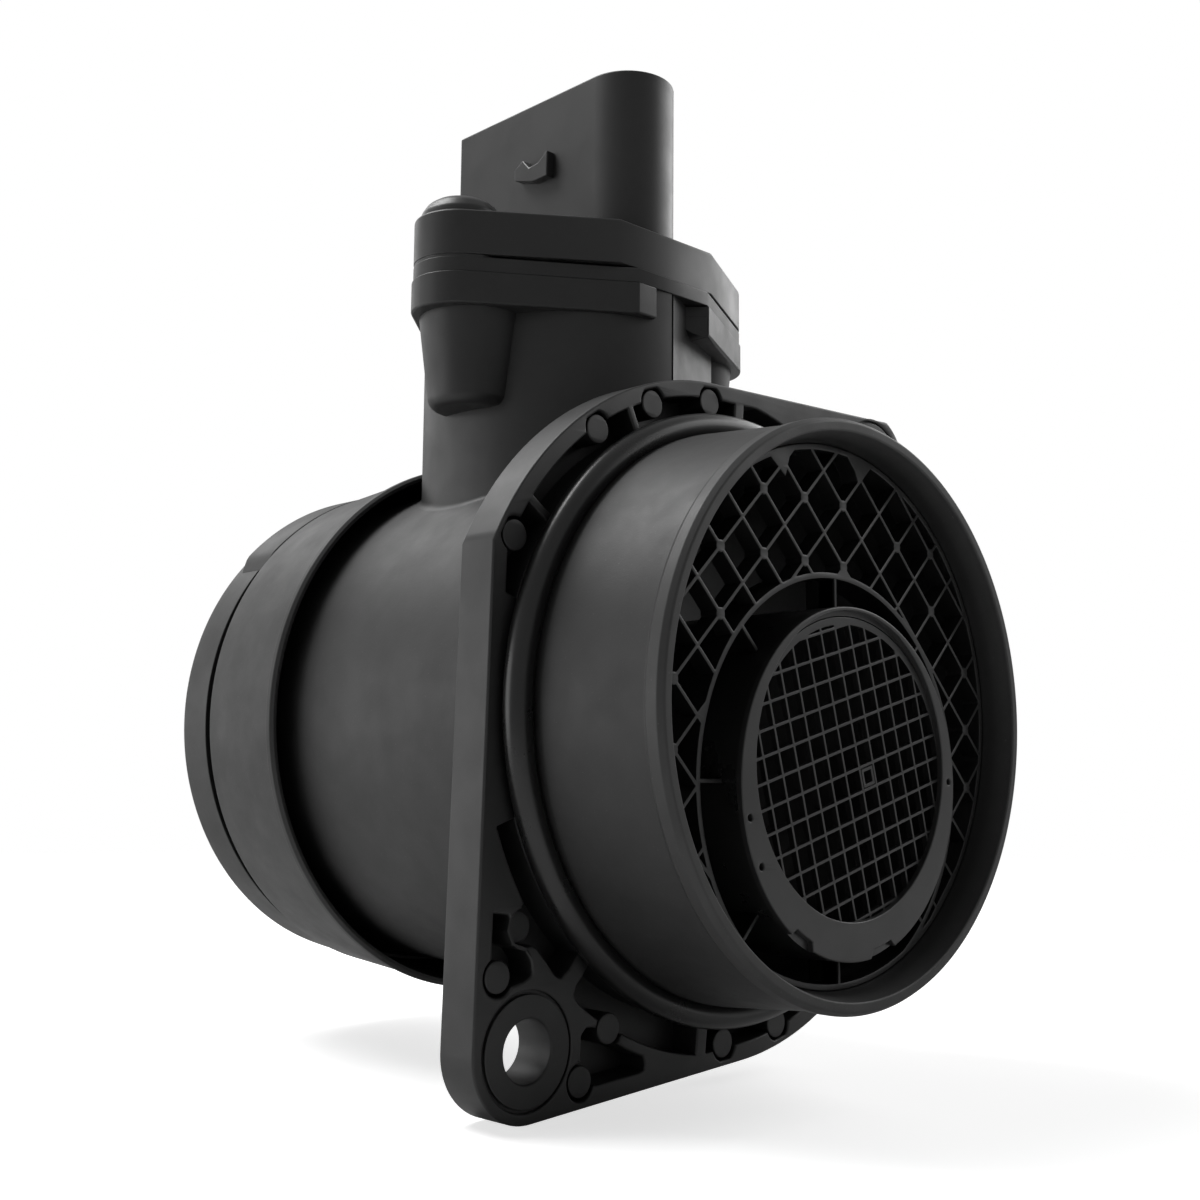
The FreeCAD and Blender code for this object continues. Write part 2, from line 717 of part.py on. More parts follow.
def latch():
    """Catch for the plug's clip on the shroud's side: a wedge with a notch in its top."""
    face_x = -shroud_width / 2
    half = latch_width / 2
    low = latch_z - latch_height / 2
    high = latch_z + latch_height / 2
    points = [(half, latch_z - latch_height * 0.2), (half, latch_z + latch_height * 0.25),
              (half * 0.5, high), (half * 0.1, latch_z + latch_height * 0.1),
              (-half * 0.45, latch_z + latch_height * 0.15), (-half, high), (-half, low),
              (-half * 0.1, low)]
    face = polygon_face([Vector(face_x, latch_y + y, z) for y, z in points])
    return face.extrude(Vector(-latch_out, 0, 0))


def terminal_places():
    """Middle of each blade along the connector."""
    middle = (shroud_front_y + shroud_back_y) / 2
    return [middle + (index - 2) * terminal_pitch for index in range(5)]


def terminal(y):
    """Blade from the socket down to the circuit board, with one jog."""
    floor = shroud_top - socket_depth
    top = floor + terminal_rise
    half = terminal_thick / 2
    board_x = bay_floor_x + carrier_thick + board_thick
    knee = bay_top + 1.5
    low = bay_top - terminal_foot
    tip = terminal_thick / 2
    points = [(-half + 0.2, top), (-half, top - tip), (-half, knee),
              (board_x, knee), (board_x, low),
              (board_x + terminal_thick, low), (board_x + terminal_thick, knee + terminal_thick),
              (half, knee + terminal_thick), (half, top - tip), (half - 0.2, top)]
    start = y - terminal_width / 2
    lower = [Vector(x, start, z) for x, z in points]
    return polygon_face(lower).extrude(Vector(0, terminal_width, 0))


def probe_blank():
    """Probe body: blunt round nose towards the air, square tail."""
    half = probe_width / 2
    body = block(-half, half, probe_front_y + half, probe_back_y, probe_end, stem_end + 1)
    nose = cylinder_z(half, probe_end, stem_end + 1, 0, probe_front_y + half)
    return body.fuse(nose).removeSplitter()


def bay_box(x0, x1, margin=0.0):
    """Part of the electronics bay between two depths."""
    return block(x0, x1, bay_front_y - margin, bay_back_y + margin, bay_bottom - margin,
                 bay_top + margin)


def bay_layers():
    """Depths of carrier, board, gel and cover, from the bay's floor out."""
    carrier = bay_floor_x + carrier_thick
    board = carrier + board_thick
    outside = probe_width / 2
    gel = outside - cover_thick
    return bay_floor_x, carrier, board, gel, outside


def channel_box(x0, x1):
    """Part of the measuring channel between two depths."""
    return block(x0, x1, probe_front_y, probe_back_y, channel_low, channel_high)


def channel_cover():
    """Lid over the measuring channel, set in flush with the probe's side."""
    outside = probe_width / 2
    return block(outside - cover_thick, outside, probe_front_y + outside, probe_back_y,
                 channel_low - channel_seat, channel_high + channel_seat)


def sensor_body():
    """Moulded plug-in sensor: cover plate, connector, stem and probe in one piece."""
    plate_top = platform_top + plate_thickness
    plate = head_slab(platform_top, plate_top, plate_front_half, plate_front_y)
    rim = [edge for edge in plate.Edges if edge.BoundBox.ZMin > plate_top - 0.01]
    plate = plate.makeChamfer(plate_edge, rim)
    shroud = shroud_outline(0.0, plate_top - 1, shroud_top)
    socket = shroud_outline(shroud_wall, shroud_top - socket_depth, shroud_top)
    stem = stadium(stem_width, stem_front_y, stem_back_y, stem_end, platform_top + 1)
    half_groove = seal_section + SEAL_NIP
    groove = stadium(stem_width + 1, stem_front_y - 0.5, stem_back_y + 0.5,
                     seal_height - half_groove, seal_height + half_groove)
    depth = seal_inset() + half_groove
    core = stadium(stem_width - 2 * depth, stem_front_y + depth, stem_back_y - depth,
                   seal_height - half_groove, seal_height + half_groove)
    body = plate.fuse([shroud, stem.cut(groove.cut(core)), probe_blank(), latch()])
    floor, _, _, _, outside = bay_layers()
    cuts = [socket, bay_box(floor, outside),
            block(floor, outside - cover_thick, tongue_front_y, tongue_back_y, tongue_end,
                  bay_bottom),
            channel_box(-probe_width / 2 + cover_thick, outside - cover_thick),
            channel_cover(),
            block(outside - cover_thick, outside, tongue_front_y, tongue_back_y,
                  channel_high, bay_bottom),
            block(-probe_width, probe_width, window_front_y, window_back_y, window_low,
                  window_high)]
    cuts += [cylinder_z(screw_hole_radius, platform_top, plate_top, *spot)
             for spot in (screw_left, screw_right)]
    cuts += [terminal(y) for y in terminal_places()]
    return body.cut(cuts).removeSplitter()


def seal_inset():
    """How far the seal's middle line lies inside the stem's sides."""
    return seal_section - SLIDE + SEAL_NIP


def sensor_seal():
    """Rubber ring in the stem's groove, following the stem's round-ended plan."""
    gap = seal_inset()
    front = stem_front_y + gap
    back = stem_back_y - gap
    radius = stem_width / 2 - gap
    z = seal_height

    def at(x, y):
        return Vector(x, y, z)

    low = front + radius
    high = back - radius
    path = Part.Wire([
        Part.makeLine(at(radius, low), at(radius, high)),
        Part.Arc(at(radius, high), at(0, back), at(-radius, high)).toShape(),
        Part.makeLine(at(-radius, high), at(-radius, low)),
        Part.Arc(at(-radius, low), at(0, front), at(radius, low)).toShape(),
    ])
    ring = Part.Wire(Part.makeCircle(seal_section, at(radius, low), AXIS_Y))
    return path.makePipeShell([ring], True, False)


def screw(spot):
    """Round-head screw with a collar and a six-sided socket."""
    seat = platform_top + plate_thickness
    shank = cylinder_z(screw_radius, seat - screw_length, seat, *spot)
    shank = shank.makeChamfer(0.6, [min(shank.Edges, key=lambda edge: edge.BoundBox.ZMax)])
    head = cylinder_z(screw_head_radius, seat, seat + screw_head_height, *spot)
    rim = [edge for edge in head.Edges if edge.BoundBox.ZMin > seat + 0.1]
    head = head.makeFillet(screw_head_round, [rim[0]])
    collar = cylinder_z(screw_collar_radius, seat, seat + screw_collar_height, *spot)
    rim = [edge for edge in collar.Edges if edge.BoundBox.ZMin > seat + 0.1]
    slope = screw_collar_radius - screw_head_radius
    collar = collar.makeChamfer(screw_collar_height * 0.6, slope * 0.8, [rim[0]])
    head = head.fuse(collar)
    top = seat + screw_head_height
    corners = [Vector(spot[0] + screw_socket / 2 * math.cos(math.radians(60 * index)),
                      spot[1] + screw_socket / 2 * math.sin(math.radians(60 * index)),
                      top - screw_socket_depth) for index in range(6)]
    socket = polygon_face(corners).extrude(Vector(0, 0, screw_socket_depth + 1))
    return shank.fuse(head).cut(socket).removeSplitter()


def carrier_plate():
    """Metal strip under the board, with a tongue down into the measuring channel."""
    floor, carrier, _, _, _ = bay_layers()
    tongue = block(floor, carrier, tongue_front_y, tongue_back_y, tongue_end, bay_bottom)
    return bay_box(floor, carrier).fuse(tongue).removeSplitter()


def circuit_board():
    """Ceramic board on the carrier."""
    _, carrier, board, _, _ = bay_layers()
    return bay_box(carrier, board)


def signal_chip():
    """Chip in the middle of the board."""
    _, _, board, _, _ = bay_layers()
    y = (bay_front_y + bay_back_y) / 2
    z = (bay_bottom + bay_top) / 2
    half = chip_size / 2
    return block(board, board + chip_thick, y - half, y + half, z - half, z + half)


def gel_fill():
    """Clear gel over the board, round the chip and the terminals' feet."""
    _, _, board, gel, _ = bay_layers()
    fill = bay_box(board, gel)
    return fill.cut([signal_chip()] + [terminal(y) for y in terminal_places()])


def electronics_cover():
    """Lid of the electronics bay, flush with the probe's side."""
    _, _, _, gel, outside = bay_layers()
    return bay_box(gel, outside)


def sensing_element():
    """Heated film chip on the carrier's tongue, in the measuring channel."""
    _, carrier, _, _, _ = bay_layers()
    y = (tongue_front_y + tongue_back_y) / 2
    z = (channel_low + channel_high) / 2
    return block(carrier, carrier + element_thick, y - element_width / 2, y + element_width / 2,
                 z - element_height / 2, z + element_height / 2)


def temperature_sensor():
    """Bead on two wires across the window behind the probe's nose."""
    y = (window_front_y + window_back_y) / 2
    z = (window_low + window_high) / 2
    wire = cylinder_z(lead_radius, window_low, window_high, 0, y)
    bead = Part.makeSphere(bead_radius, Vector(0, y, z))
    return wire.fuse(bead)


def export_all():
    """Write each piece to its own file."""
    os.makedirs("parts", exist_ok=True)
    pieces = {
        "housing": housing(),
        "inlet_grid": inlet_grid(),
        "measuring_tube": measuring_tube(),
        "tube_screen": tube_screen(),
        "spigot_seal": spigot_seal(),
        "sensor_body": sensor_body(),
        "sensor_seal": sensor_seal(),
        "screw_left": screw(screw_left),
        "screw_right": screw(screw_right),
        "carrier_plate": carrier_plate(),
        "circuit_board": circuit_board(),
        "signal_chip": signal_chip(),
        "gel_fill": gel_fill(),
        "electronics_cover": electronics_cover(),
        "channel_cover": channel_cover(),
        "sensing_element": sensing_element(),
        "temperature_sensor": temperature_sensor(),
    }
    for index, y in enumerate(terminal_places(), start=1):
        pieces["terminal_%d" % index] = terminal(y)
    for name, shape in pieces.items():
        shape.exportStep("parts/%s.step" % name)


export_all()
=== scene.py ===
import bmesh
import bpy
import math
import numpy as np
from mathutils import Matrix, Vector
from mathutils.geometry import tessellate_polygon


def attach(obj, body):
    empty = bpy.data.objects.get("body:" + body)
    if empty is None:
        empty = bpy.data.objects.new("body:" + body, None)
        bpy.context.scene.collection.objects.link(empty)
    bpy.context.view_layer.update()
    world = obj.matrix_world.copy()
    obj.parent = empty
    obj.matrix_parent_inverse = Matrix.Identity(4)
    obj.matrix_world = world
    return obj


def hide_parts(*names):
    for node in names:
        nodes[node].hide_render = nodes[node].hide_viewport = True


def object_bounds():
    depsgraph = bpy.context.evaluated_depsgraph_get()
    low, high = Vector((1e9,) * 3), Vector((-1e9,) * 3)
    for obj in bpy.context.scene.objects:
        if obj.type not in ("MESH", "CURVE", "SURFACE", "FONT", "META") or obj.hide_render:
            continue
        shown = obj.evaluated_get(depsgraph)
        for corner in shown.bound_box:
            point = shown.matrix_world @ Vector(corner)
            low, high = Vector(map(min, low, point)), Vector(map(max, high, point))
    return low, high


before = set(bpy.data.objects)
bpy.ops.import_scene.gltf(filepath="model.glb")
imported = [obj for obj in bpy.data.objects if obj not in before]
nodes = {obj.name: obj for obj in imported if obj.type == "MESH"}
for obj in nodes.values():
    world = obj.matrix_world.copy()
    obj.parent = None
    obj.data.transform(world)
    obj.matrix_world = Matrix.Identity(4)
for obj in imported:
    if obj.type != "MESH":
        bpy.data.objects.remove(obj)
cad_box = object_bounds()
MM = 0.001


# Materials: lengths in metres

dust_tone = (0.16, 0.16, 0.155, 1.0)
grain_depth = 0.00003
recess_reach = 0.008


def material(name):
    """New node material: its node tree and its shader."""
    made = bpy.data.materials.new(name)
    made.use_nodes = True
    return made, made.node_tree, made.node_tree.nodes["Principled BSDF"]


def link(tree, source, out, target, into):
    """Join one node's output to another node's input."""
    tree.links.new(source.outputs[out], target.inputs[into])


def noise(tree, coords, scale, detail=3.0):
    """Cloudy pattern, fixed to the piece; a larger scale makes it finer."""
    node = tree.nodes.new("ShaderNodeTexNoise")
    node.inputs["Scale"].default_value = scale
    node.inputs["Detail"].default_value = detail
    node.inputs["Roughness"].default_value = 0.6
    link(tree, coords, "Object", node, "Vector")
    return node


def ramp(tree, source, stops):
    """Colours or grey values at set places along a pattern's range."""
    node = tree.nodes.new("ShaderNodeValToRGB")
    while len(node.color_ramp.elements) < len(stops):
        node.color_ramp.elements.new(0.5)
    for element, (place, value) in zip(node.color_ramp.elements, stops):
        element.position = place
        colour = value if isinstance(value, tuple) else (value, value, value)
        element.color = colour + (1.0,)
    link(tree, source, "Fac", node, "Fac")
    return node


def moulded(name, dark, light, rough_low, rough_high, grain, grain_size, dust=0.0):
    """Moulded plastic: cloudy tone, spark-eroded grain and uneven gloss."""
    made, tree, shader = material(name)
    coords = tree.nodes.new("ShaderNodeTexCoord")
    cloud = noise(tree, coords, 60.0, 5.0)
    tone = ramp(tree, cloud, [(0.3, dark), (0.72, light)])
    speck = noise(tree, coords, 2600.0, 2.0)
    dots = ramp(tree, speck, [(0.68, 0.0), (0.76, 1.0)])
    amount = tree.nodes.new("ShaderNodeMath")
    amount.operation = "MULTIPLY"
    amount.inputs[1].default_value = dust
    link(tree, dots, "Color", amount, 0)
    mix = tree.nodes.new("ShaderNodeMix")
    mix.data_type = "RGBA"
    mix.inputs["B"].default_value = dust_tone
    tree.links.new(amount.outputs[0], mix.inputs["Factor"])
    tree.links.new(tone.outputs["Color"], mix.inputs["A"])
    tree.links.new(mix.outputs["Result"], shader.inputs["Base Color"])
    gloss = noise(tree, coords, 140.0, 4.0)
    rough = ramp(tree, gloss, [(0.3, rough_low), (0.7, rough_high)])
    link(tree, rough, "Color", shader, "Roughness")
    fine = noise(tree, coords, 1000.0 / grain_size, 2.0)
    bump = tree.nodes.new("ShaderNodeBump")
    bump.inputs["Strength"].default_value = grain
    bump.inputs["Distance"].default_value = grain_depth
    link(tree, fine, "Fac", bump, "Height")
    link(tree, bump, "Normal", shader, "Normal")
    return made


def recess_value(tree, coords):
    """How open the place is to its surroundings, from 0 in a deep recess to 1."""
    node = tree.nodes.new("ShaderNodeAmbientOcclusion")
    node.samples = 8
    node.inputs["Distance"].default_value = recess_reach
    return node.outputs["AO"]


def facing_value(tree, coords):
    """How squarely a surface faces along the duct."""
    parts = tree.nodes.new("ShaderNodeSeparateXYZ")
    size = tree.nodes.new("ShaderNodeMath")
    size.operation = "ABSOLUTE"
    link(tree, coords, "Normal", parts, "Vector")
    link(tree, parts, "Y", size, 0)
    return size.outputs["Value"]


def radius_value(tree, coords):
    """Distance from the duct's axis in metres."""
    flat = tree.nodes.new("ShaderNodeVectorMath")
    flat.operation = "MULTIPLY"
    flat.inputs[1].default_value = (1.0, 0.0, 1.0)
    span = tree.nodes.new("ShaderNodeVectorMath")
    span.operation = "LENGTH"
    link(tree, coords, "Object", flat, 0)
    link(tree, flat, "Vector", span, 0)
    return span.outputs["Value"]


def along_value(tree, coords):
    """Place along the duct in metres."""
    parts = tree.nodes.new("ShaderNodeSeparateXYZ")
    link(tree, coords, "Object", parts, "Vector")
    return parts.outputs["Y"]


def paint_light_and_shade(made, value_of, start, stop, low):
    """Paint light or shade into a plastic's tone: scale it by low where a value is at its start,
    and not at its stop.
    """
    tree = made.node_tree
    shader = tree.nodes["Principled BSDF"]
    coords = tree.nodes.new("ShaderNodeTexCoord")
    share = tree.nodes.new("ShaderNodeMapRange")
    share.inputs["From Min"].default_value = start
    share.inputs["From Max"].default_value = stop
    share.inputs["To Min"].default_value = low
    share.inputs["To Max"].default_value = 1.0
    tree.links.new(value_of(tree, coords), share.inputs["Value"])
    dim = tree.nodes.new("ShaderNodeVectorMath")
    dim.operation = "SCALE"
    tree.links.new(shader.inputs["Base Color"].links[0].from_socket, dim.inputs[0])
    link(tree, share, "Result", dim, "Scale")
    link(tree, dim, "Vector", shader, "Base Color")


def metal(name, colour, rough, grain_scale):
    """Bare metal with a fine drawn grain."""
    made, tree, shader = material(name)
    coords = tree.nodes.new("ShaderNodeTexCoord")
    shader.inputs["Metallic"].default_value = 1.0
    grain = noise(tree, coords, grain_scale, 4.0)
    low = tuple(c * 0.86 for c in colour)
    tone = ramp(tree, grain, [(0.3, low), (0.7, colour)])
    link(tree, tone, "Color", shader, "Base Color")
    gloss = ramp(tree, grain, [(0.3, rough * 0.8), (0.7, rough * 1.25)])
    link(tree, gloss, "Color", shader, "Roughness")
    return made


# Each plastic: dark and light tone, lowest and highest roughness, grain, grain size, dust

housing_skin = moulded("housing_skin", (0.022,) * 3, (0.030,) * 3, 0.44, 0.56, 0.28, 0.32, 0.10)
spigot_skin = moulded("spigot_skin", (0.024,) * 3, (0.034,) * 3, 0.50, 0.62, 0.40, 0.36, 0.22)
sensor_skin = moulded("sensor_skin", (0.026,) * 3, (0.034,) * 3, 0.38, 0.50, 0.22, 0.30, 0.06)
tube_skin = moulded("tube_skin", (0.016,) * 3, (0.022,) * 3, 0.26, 0.38, 0.08, 0.30, 0.03)
grid_skin = moulded("grid_skin", (0.024,) * 3, (0.034,) * 3, 0.38, 0.50, 0.12, 0.30, 0.05)
face_skin = moulded("face_skin", (0.034,) * 3, (0.046,) * 3, 0.34, 0.46, 0.12, 0.30, 0.05)
rubber_skin = moulded("rubber_skin", (0.012,) * 3, (0.016,) * 3, 0.26, 0.34, 0.06, 0.25, 0.03)
screw_skin = moulded("screw_skin", (0.030,) * 3, (0.050,) * 3, 0.34, 0.46, 0.30, 0.22, 0.0)
ceramic = moulded("ceramic", (0.70, 0.70, 0.66), (0.80, 0.80, 0.76), 0.35, 0.5, 0.05, 0.4)
epoxy = moulded("epoxy", (0.020,) * 3, (0.028,) * 3, 0.3, 0.42, 0.05, 0.3)
gel = moulded("gel", (0.62, 0.62, 0.58), (0.70, 0.70, 0.66), 0.12, 0.2, 0.02, 1.0)
tinned = metal("tinned", (0.78, 0.76, 0.70), 0.28, 900.0)
rolled = metal("rolled", (0.74, 0.74, 0.76), 0.34, 700.0)
# Painted shade: the grid's bar sides, which face across the duct, are darkened in the base colour.
paint_light_and_shade(grid_skin, facing_value, 0.4, 0.9, 0.15)
# Painted shade: the spigot plastic is darkened inside a radius of about 40 mm, in the bore.
paint_light_and_shade(spigot_skin, radius_value, 0.0398, 0.0404, 0.15)
# Painted highlight: the band at the spigot's lip is made half again lighter in the base colour.
paint_light_and_shade(spigot_skin, along_value, -0.0237, -0.0230, 1.5)
# Painted shade: the housing and spigot plastics are darkened in recesses, found by an ambient
# occlusion node.
paint_light_and_shade(housing_skin, recess_value, 0.20, 0.55, 0.08)
paint_light_and_shade(spigot_skin, recess_value, 0.40, 0.80, 0.08)


# Shape tools: every size below is in millimetres

def added(name, data):
    """Object with this mesh, lamp or camera, in the scene."""
    thing = bpy.data.objects.new(name, data)
    bpy.context.scene.collection.objects.link(thing)
    return thing


def closed_mesh(name, verts, faces):
    """Mesh in metres from millimetre points, with all its faces turned outward."""
    mesh = bpy.data.meshes.new(name)
    mesh.from_pydata([tuple(c * MM for c in v) for v in verts], [], faces)
    bm = bmesh.new()
    bm.from_mesh(mesh)
    bmesh.ops.remove_doubles(bm, verts=bm.verts, dist=1e-7)
    bmesh.ops.recalc_face_normals(bm, faces=bm.faces)
    bm.to_mesh(mesh)
    bm.free()
    return mesh


def finish(name, verts, faces, skin, nodes_stood_for=(), slot=None):
    """Piece of the part from millimetre points, with crisp edges and even shading."""
    mesh = closed_mesh(name, verts, faces)
    mesh.shade_smooth()
    mesh.set_sharp_from_angle(angle=math.radians(38.0))
    mesh.materials.append(skin)
    piece = added(name, mesh)
    even = piece.modifiers.new("even_shading", "WEIGHTED_NORMAL")
    even.keep_sharp = True
    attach(piece, "root")
    if nodes_stood_for:
        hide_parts(*nodes_stood_for)
    return piece


def soften(piece, width, segments):
    """Round the piece's edges."""
    edge = piece.modifiers.new("soft_edges", "BEVEL")
    edge.width = width * MM
    edge.segments = segments
    edge.limit_method = "ANGLE"
    edge.angle_limit = math.radians(40.0)
    piece.modifiers.move(len(piece.modifiers) - 1, 0)


def along(x=0.0, z=0.0):
    """Plan (a, b) across the duct, height along it."""
    return lambda a, b, h: (x + a, h, z + b)


def upright(x=0.0, y=0.0):
    """Plan (a, b) seen from above, height up."""
    return lambda a, b, h: (x + a, y + b, h)


def eased(points, steps=6):
    """Closed outline whose corners (a, b, radius) become arcs."""
    out = []
    count = len(points)
    for i in range(count):
        here = Vector(points[i][:2])
        back = Vector(points[i - 1][:2]) - here
        ahead = Vector(points[(i + 1) % count][:2]) - here
        reach_limit = 0.49 * min(back.length, ahead.length)
        back.normalize()
        ahead.normalize()
        angle = back.angle(ahead)
        if points[i][2] <= 0 or angle > math.pi - 0.01:
            out.append(tuple(here))
            continue
        reach = min(points[i][2] / math.tan(angle / 2), reach_limit)
        radius = reach * math.tan(angle / 2)
        centre = here + (back + ahead).normalized() * (radius / math.sin(angle / 2))
        first = here + back * reach - centre
        last = here + ahead * reach - centre
        a0 = math.atan2(first.y, first.x)
        turn = math.atan2(last.y, last.x) - a0
        turn = (turn + math.pi) % (2 * math.pi) - math.pi
        for k in range(steps + 1):
            a = a0 + turn * k / steps
            out.append((centre.x + radius * math.cos(a), centre.y + radius * math.sin(a)))
    return out


def turned(profile, place, segments):
    """Points and faces of a closed (radius, height) outline turned once round."""
    ring = eased(profile, 5)
    verts = []
    for i in range(segments):
        turn = 2 * math.pi * i / segments
        verts += [place(r * math.cos(turn), r * math.sin(turn), h) for r, h in ring]
    count = len(ring)
    faces = []
    for i in range(segments):
        here = i * count
        ahead = ((i + 1) % segments) * count
        for k in range(count):
            j = (k + 1) % count
            faces.append((here + k, here + j, ahead + j, ahead + k))
    return verts, faces


def area(loop):
    """Area of an outline, negative where it runs clockwise."""
    return sum(loop[i - 1][0] * p[1] - p[0] * loop[i - 1][1] for i, p in enumerate(loop)) / 2


def inset(loop, distance):
    """Outline moved to its left by a distance."""
    points = np.array(loop, float)
    ahead = np.roll(points, -1, 0) - points
    ahead /= np.maximum(np.linalg.norm(ahead, axis=1), 1e-9)[:, None]
    left = np.stack([-ahead[:, 1], ahead[:, 0]], 1)
    before = np.roll(left, 1, 0)
    share = 1 + np.sum(left * before, axis=1)
    mitre = (left + before) / np.maximum(share, 0.45)[:, None]
    return points + mitre * distance


def slab(loops, low, high, edge, place, steps=3, low_edge=None):
    """Points and faces of a flat piece with rounded edges; the first loop is its outline."""
    low_edge = edge if low_edge is None else low_edge
    loops = [list(loop) if (area(loop) > 0) == (i == 0) else list(loop)[::-1]
             for i, loop in enumerate(loops)]
    rows = []
    for k in range(steps + 1):
        t = math.pi / 2 * k / steps
        rows.append((low_edge * (1 - math.sin(t)), low + low_edge * (1 - math.cos(t))))
    for k in range(steps + 1):
        t = math.pi / 2 * (1 - k / steps)
        rows.append((edge * (1 - math.sin(t)), high - edge * (1 - math.cos(t))))
    verts = []
    faces = []
    ends = ([], [])
    for loop in loops:
        start = len(verts)
        count = len(loop)
        for distance, height in rows:
            verts += [(p[0], p[1], height) for p in inset(loop, distance)]
        for r in range(len(rows) - 1):
            a = start + r * count
            for k in range(count):
                j = (k + 1) % count
                faces.append((a + k, a + j, a + count + j, a + count + k))
        ends[0].append(list(range(start, start + count)))
        top = start + (len(rows) - 1) * count
        ends[1].append(list(range(top, top + count)))
    for rings in ends:
        flat = [[Vector((verts[i][0], verts[i][1], 0)) for i in ring] for ring in rings]
        index = [i for ring in rings for i in ring]
        faces += [tuple(index[i] for i in face) for face in tessellate_polygon(flat)]
    return [place(*v) for v in verts], faces


def joined(*parts):
    """Several point and face lists as one."""
    verts = []
    faces = []
    for part_verts, part_faces in parts:
        start = len(verts)
        verts += part_verts
        faces += [tuple(start + i for i in face) for face in part_faces]
    return verts, faces


def shell(turns, rows, kept, outer, inner):
    """Points and faces of a wall over the kept cells of a turn and row grid."""
    verts = [surface(t, r) for surface in (outer, inner) for t in turns for r in rows]
    depth = len(rows)
    side = len(turns) * depth
    faces = []

    def at(i, j):
        return (i % len(turns)) * depth + j

    for i in range(len(turns)):
        for j in range(depth - 1):
            if not kept(i, j):
                continue
            ring = (at(i, j), at(i + 1, j), at(i + 1, j + 1), at(i, j + 1))
            faces.append(ring)
            faces.append(tuple(side + k for k in ring[::-1]))
            beside = ((i, j - 1), (i + 1, j), (i, j + 1), (i - 1, j))
            for k, (ni, nj) in enumerate(beside):
                if not 0 <= nj < depth - 1 or not kept(ni % len(turns), nj):
                    a, b = ring[k], ring[(k + 1) % 4]
                    faces.append((a, b, side + b, side + a))
    return verts, faces


def box(x0, x1, y0, y1, z0, z1):
    """Points and faces of a box."""
    verts = [(x, y, z) for x in (x0, x1) for y in (y0, y1) for z in (z0, z1)]
    faces = [(0, 1, 3, 2), (4, 6, 7, 5), (0, 4, 5, 1), (2, 3, 7, 6), (0, 2, 6, 4), (1, 5, 7, 3)]
    return verts, faces


def prism(loop, low, high, place):
    """Points and faces of a straight-sided piece."""
    count = len(loop)
    verts = [place(a, b, h) for h in (low, high) for a, b in loop]
    faces = [tuple(range(count))[::-1], tuple(range(count, 2 * count))]
    faces += [(k, (k + 1) % count, count + (k + 1) % count, count + k) for k in range(count)]
    return verts, faces


def cut(parts, cutters):
    """Points and faces of a piece with others taken out of it."""
    body, *tools = [added("form", closed_mesh("form", *form)) for form in (parts, *cutters)]
    for tool in tools:
        step = body.modifiers.new("cut", "BOOLEAN")
        step.operation = "DIFFERENCE"
        step.solver = "EXACT"
        step.object = tool
    bpy.context.view_layer.update()
    made = body.evaluated_get(bpy.context.evaluated_depsgraph_get()).to_mesh()
    verts = [tuple(c / MM for c in v.co) for v in made.vertices]
    faces = [tuple(face.vertices) for face in made.polygons]
    for thing in [body] + tools:
        mesh = thing.data
        bpy.data.objects.remove(thing)
        bpy.data.meshes.remove(mesh)
    return verts, faces


def disc(x, z, radius, count):
    """Round outline."""
    return [(x + radius * math.cos(2 * math.pi * i / count),
             z + radius * math.sin(2 * math.pi * i / count)) for i in range(count)]


# Flat forms as distance fields: negative inside

def field(x0, x1, z0, z1, step):
    """Grid of places on which distances are worked out."""
    xs = np.arange(x0, x1 + step, step)
    zs = np.arange(z0, z1 + step, step)
    return np.meshgrid(xs, zs, indexing="ij")


def circle_field(grid, x, z, radius):
    """Distance to a circle, negative inside."""
    return np.hypot(grid[0] - x, grid[1] - z) - radius


def bar_field(grid, start, end, width):
    """Bar with square ends from one point to another."""
    run = np.array(end, float) - np.array(start, float)
    length = np.hypot(*run)
    unit = run / length
    dx = grid[0] - (start[0] + end[0]) / 2
    dz = grid[1] - (start[1] + end[1]) / 2
    lengthways = np.abs(dx * unit[0] + dz * unit[1]) - length / 2
    across = np.abs(-dx * unit[1] + dz * unit[0]) - width / 2
    return np.maximum(lengthways, across)


def outline_field(grid, loop):
    """Distance to a closed outline, negative inside."""
    nearest = np.full(grid[0].shape, 1e9)
    inside = np.zeros(grid[0].shape, bool)
    for i in range(len(loop)):
        ax, az = loop[i - 1]
        bx, bz = loop[i]
        ex, ez = bx - ax, bz - az
        px, pz = grid[0] - ax, grid[1] - az
        t = np.clip((px * ex + pz * ez) / max(ex * ex + ez * ez, 1e-12), 0, 1)
        nearest = np.minimum(nearest, (px - ex * t) ** 2 + (pz - ez * t) ** 2)
        crosses = (az > grid[1]) != (bz > grid[1])
        if az != bz:
            inside ^= crosses & (grid[0] < ex * (grid[1] - az) / ez + ax)
    return np.where(inside, -1, 1) * np.sqrt(nearest)


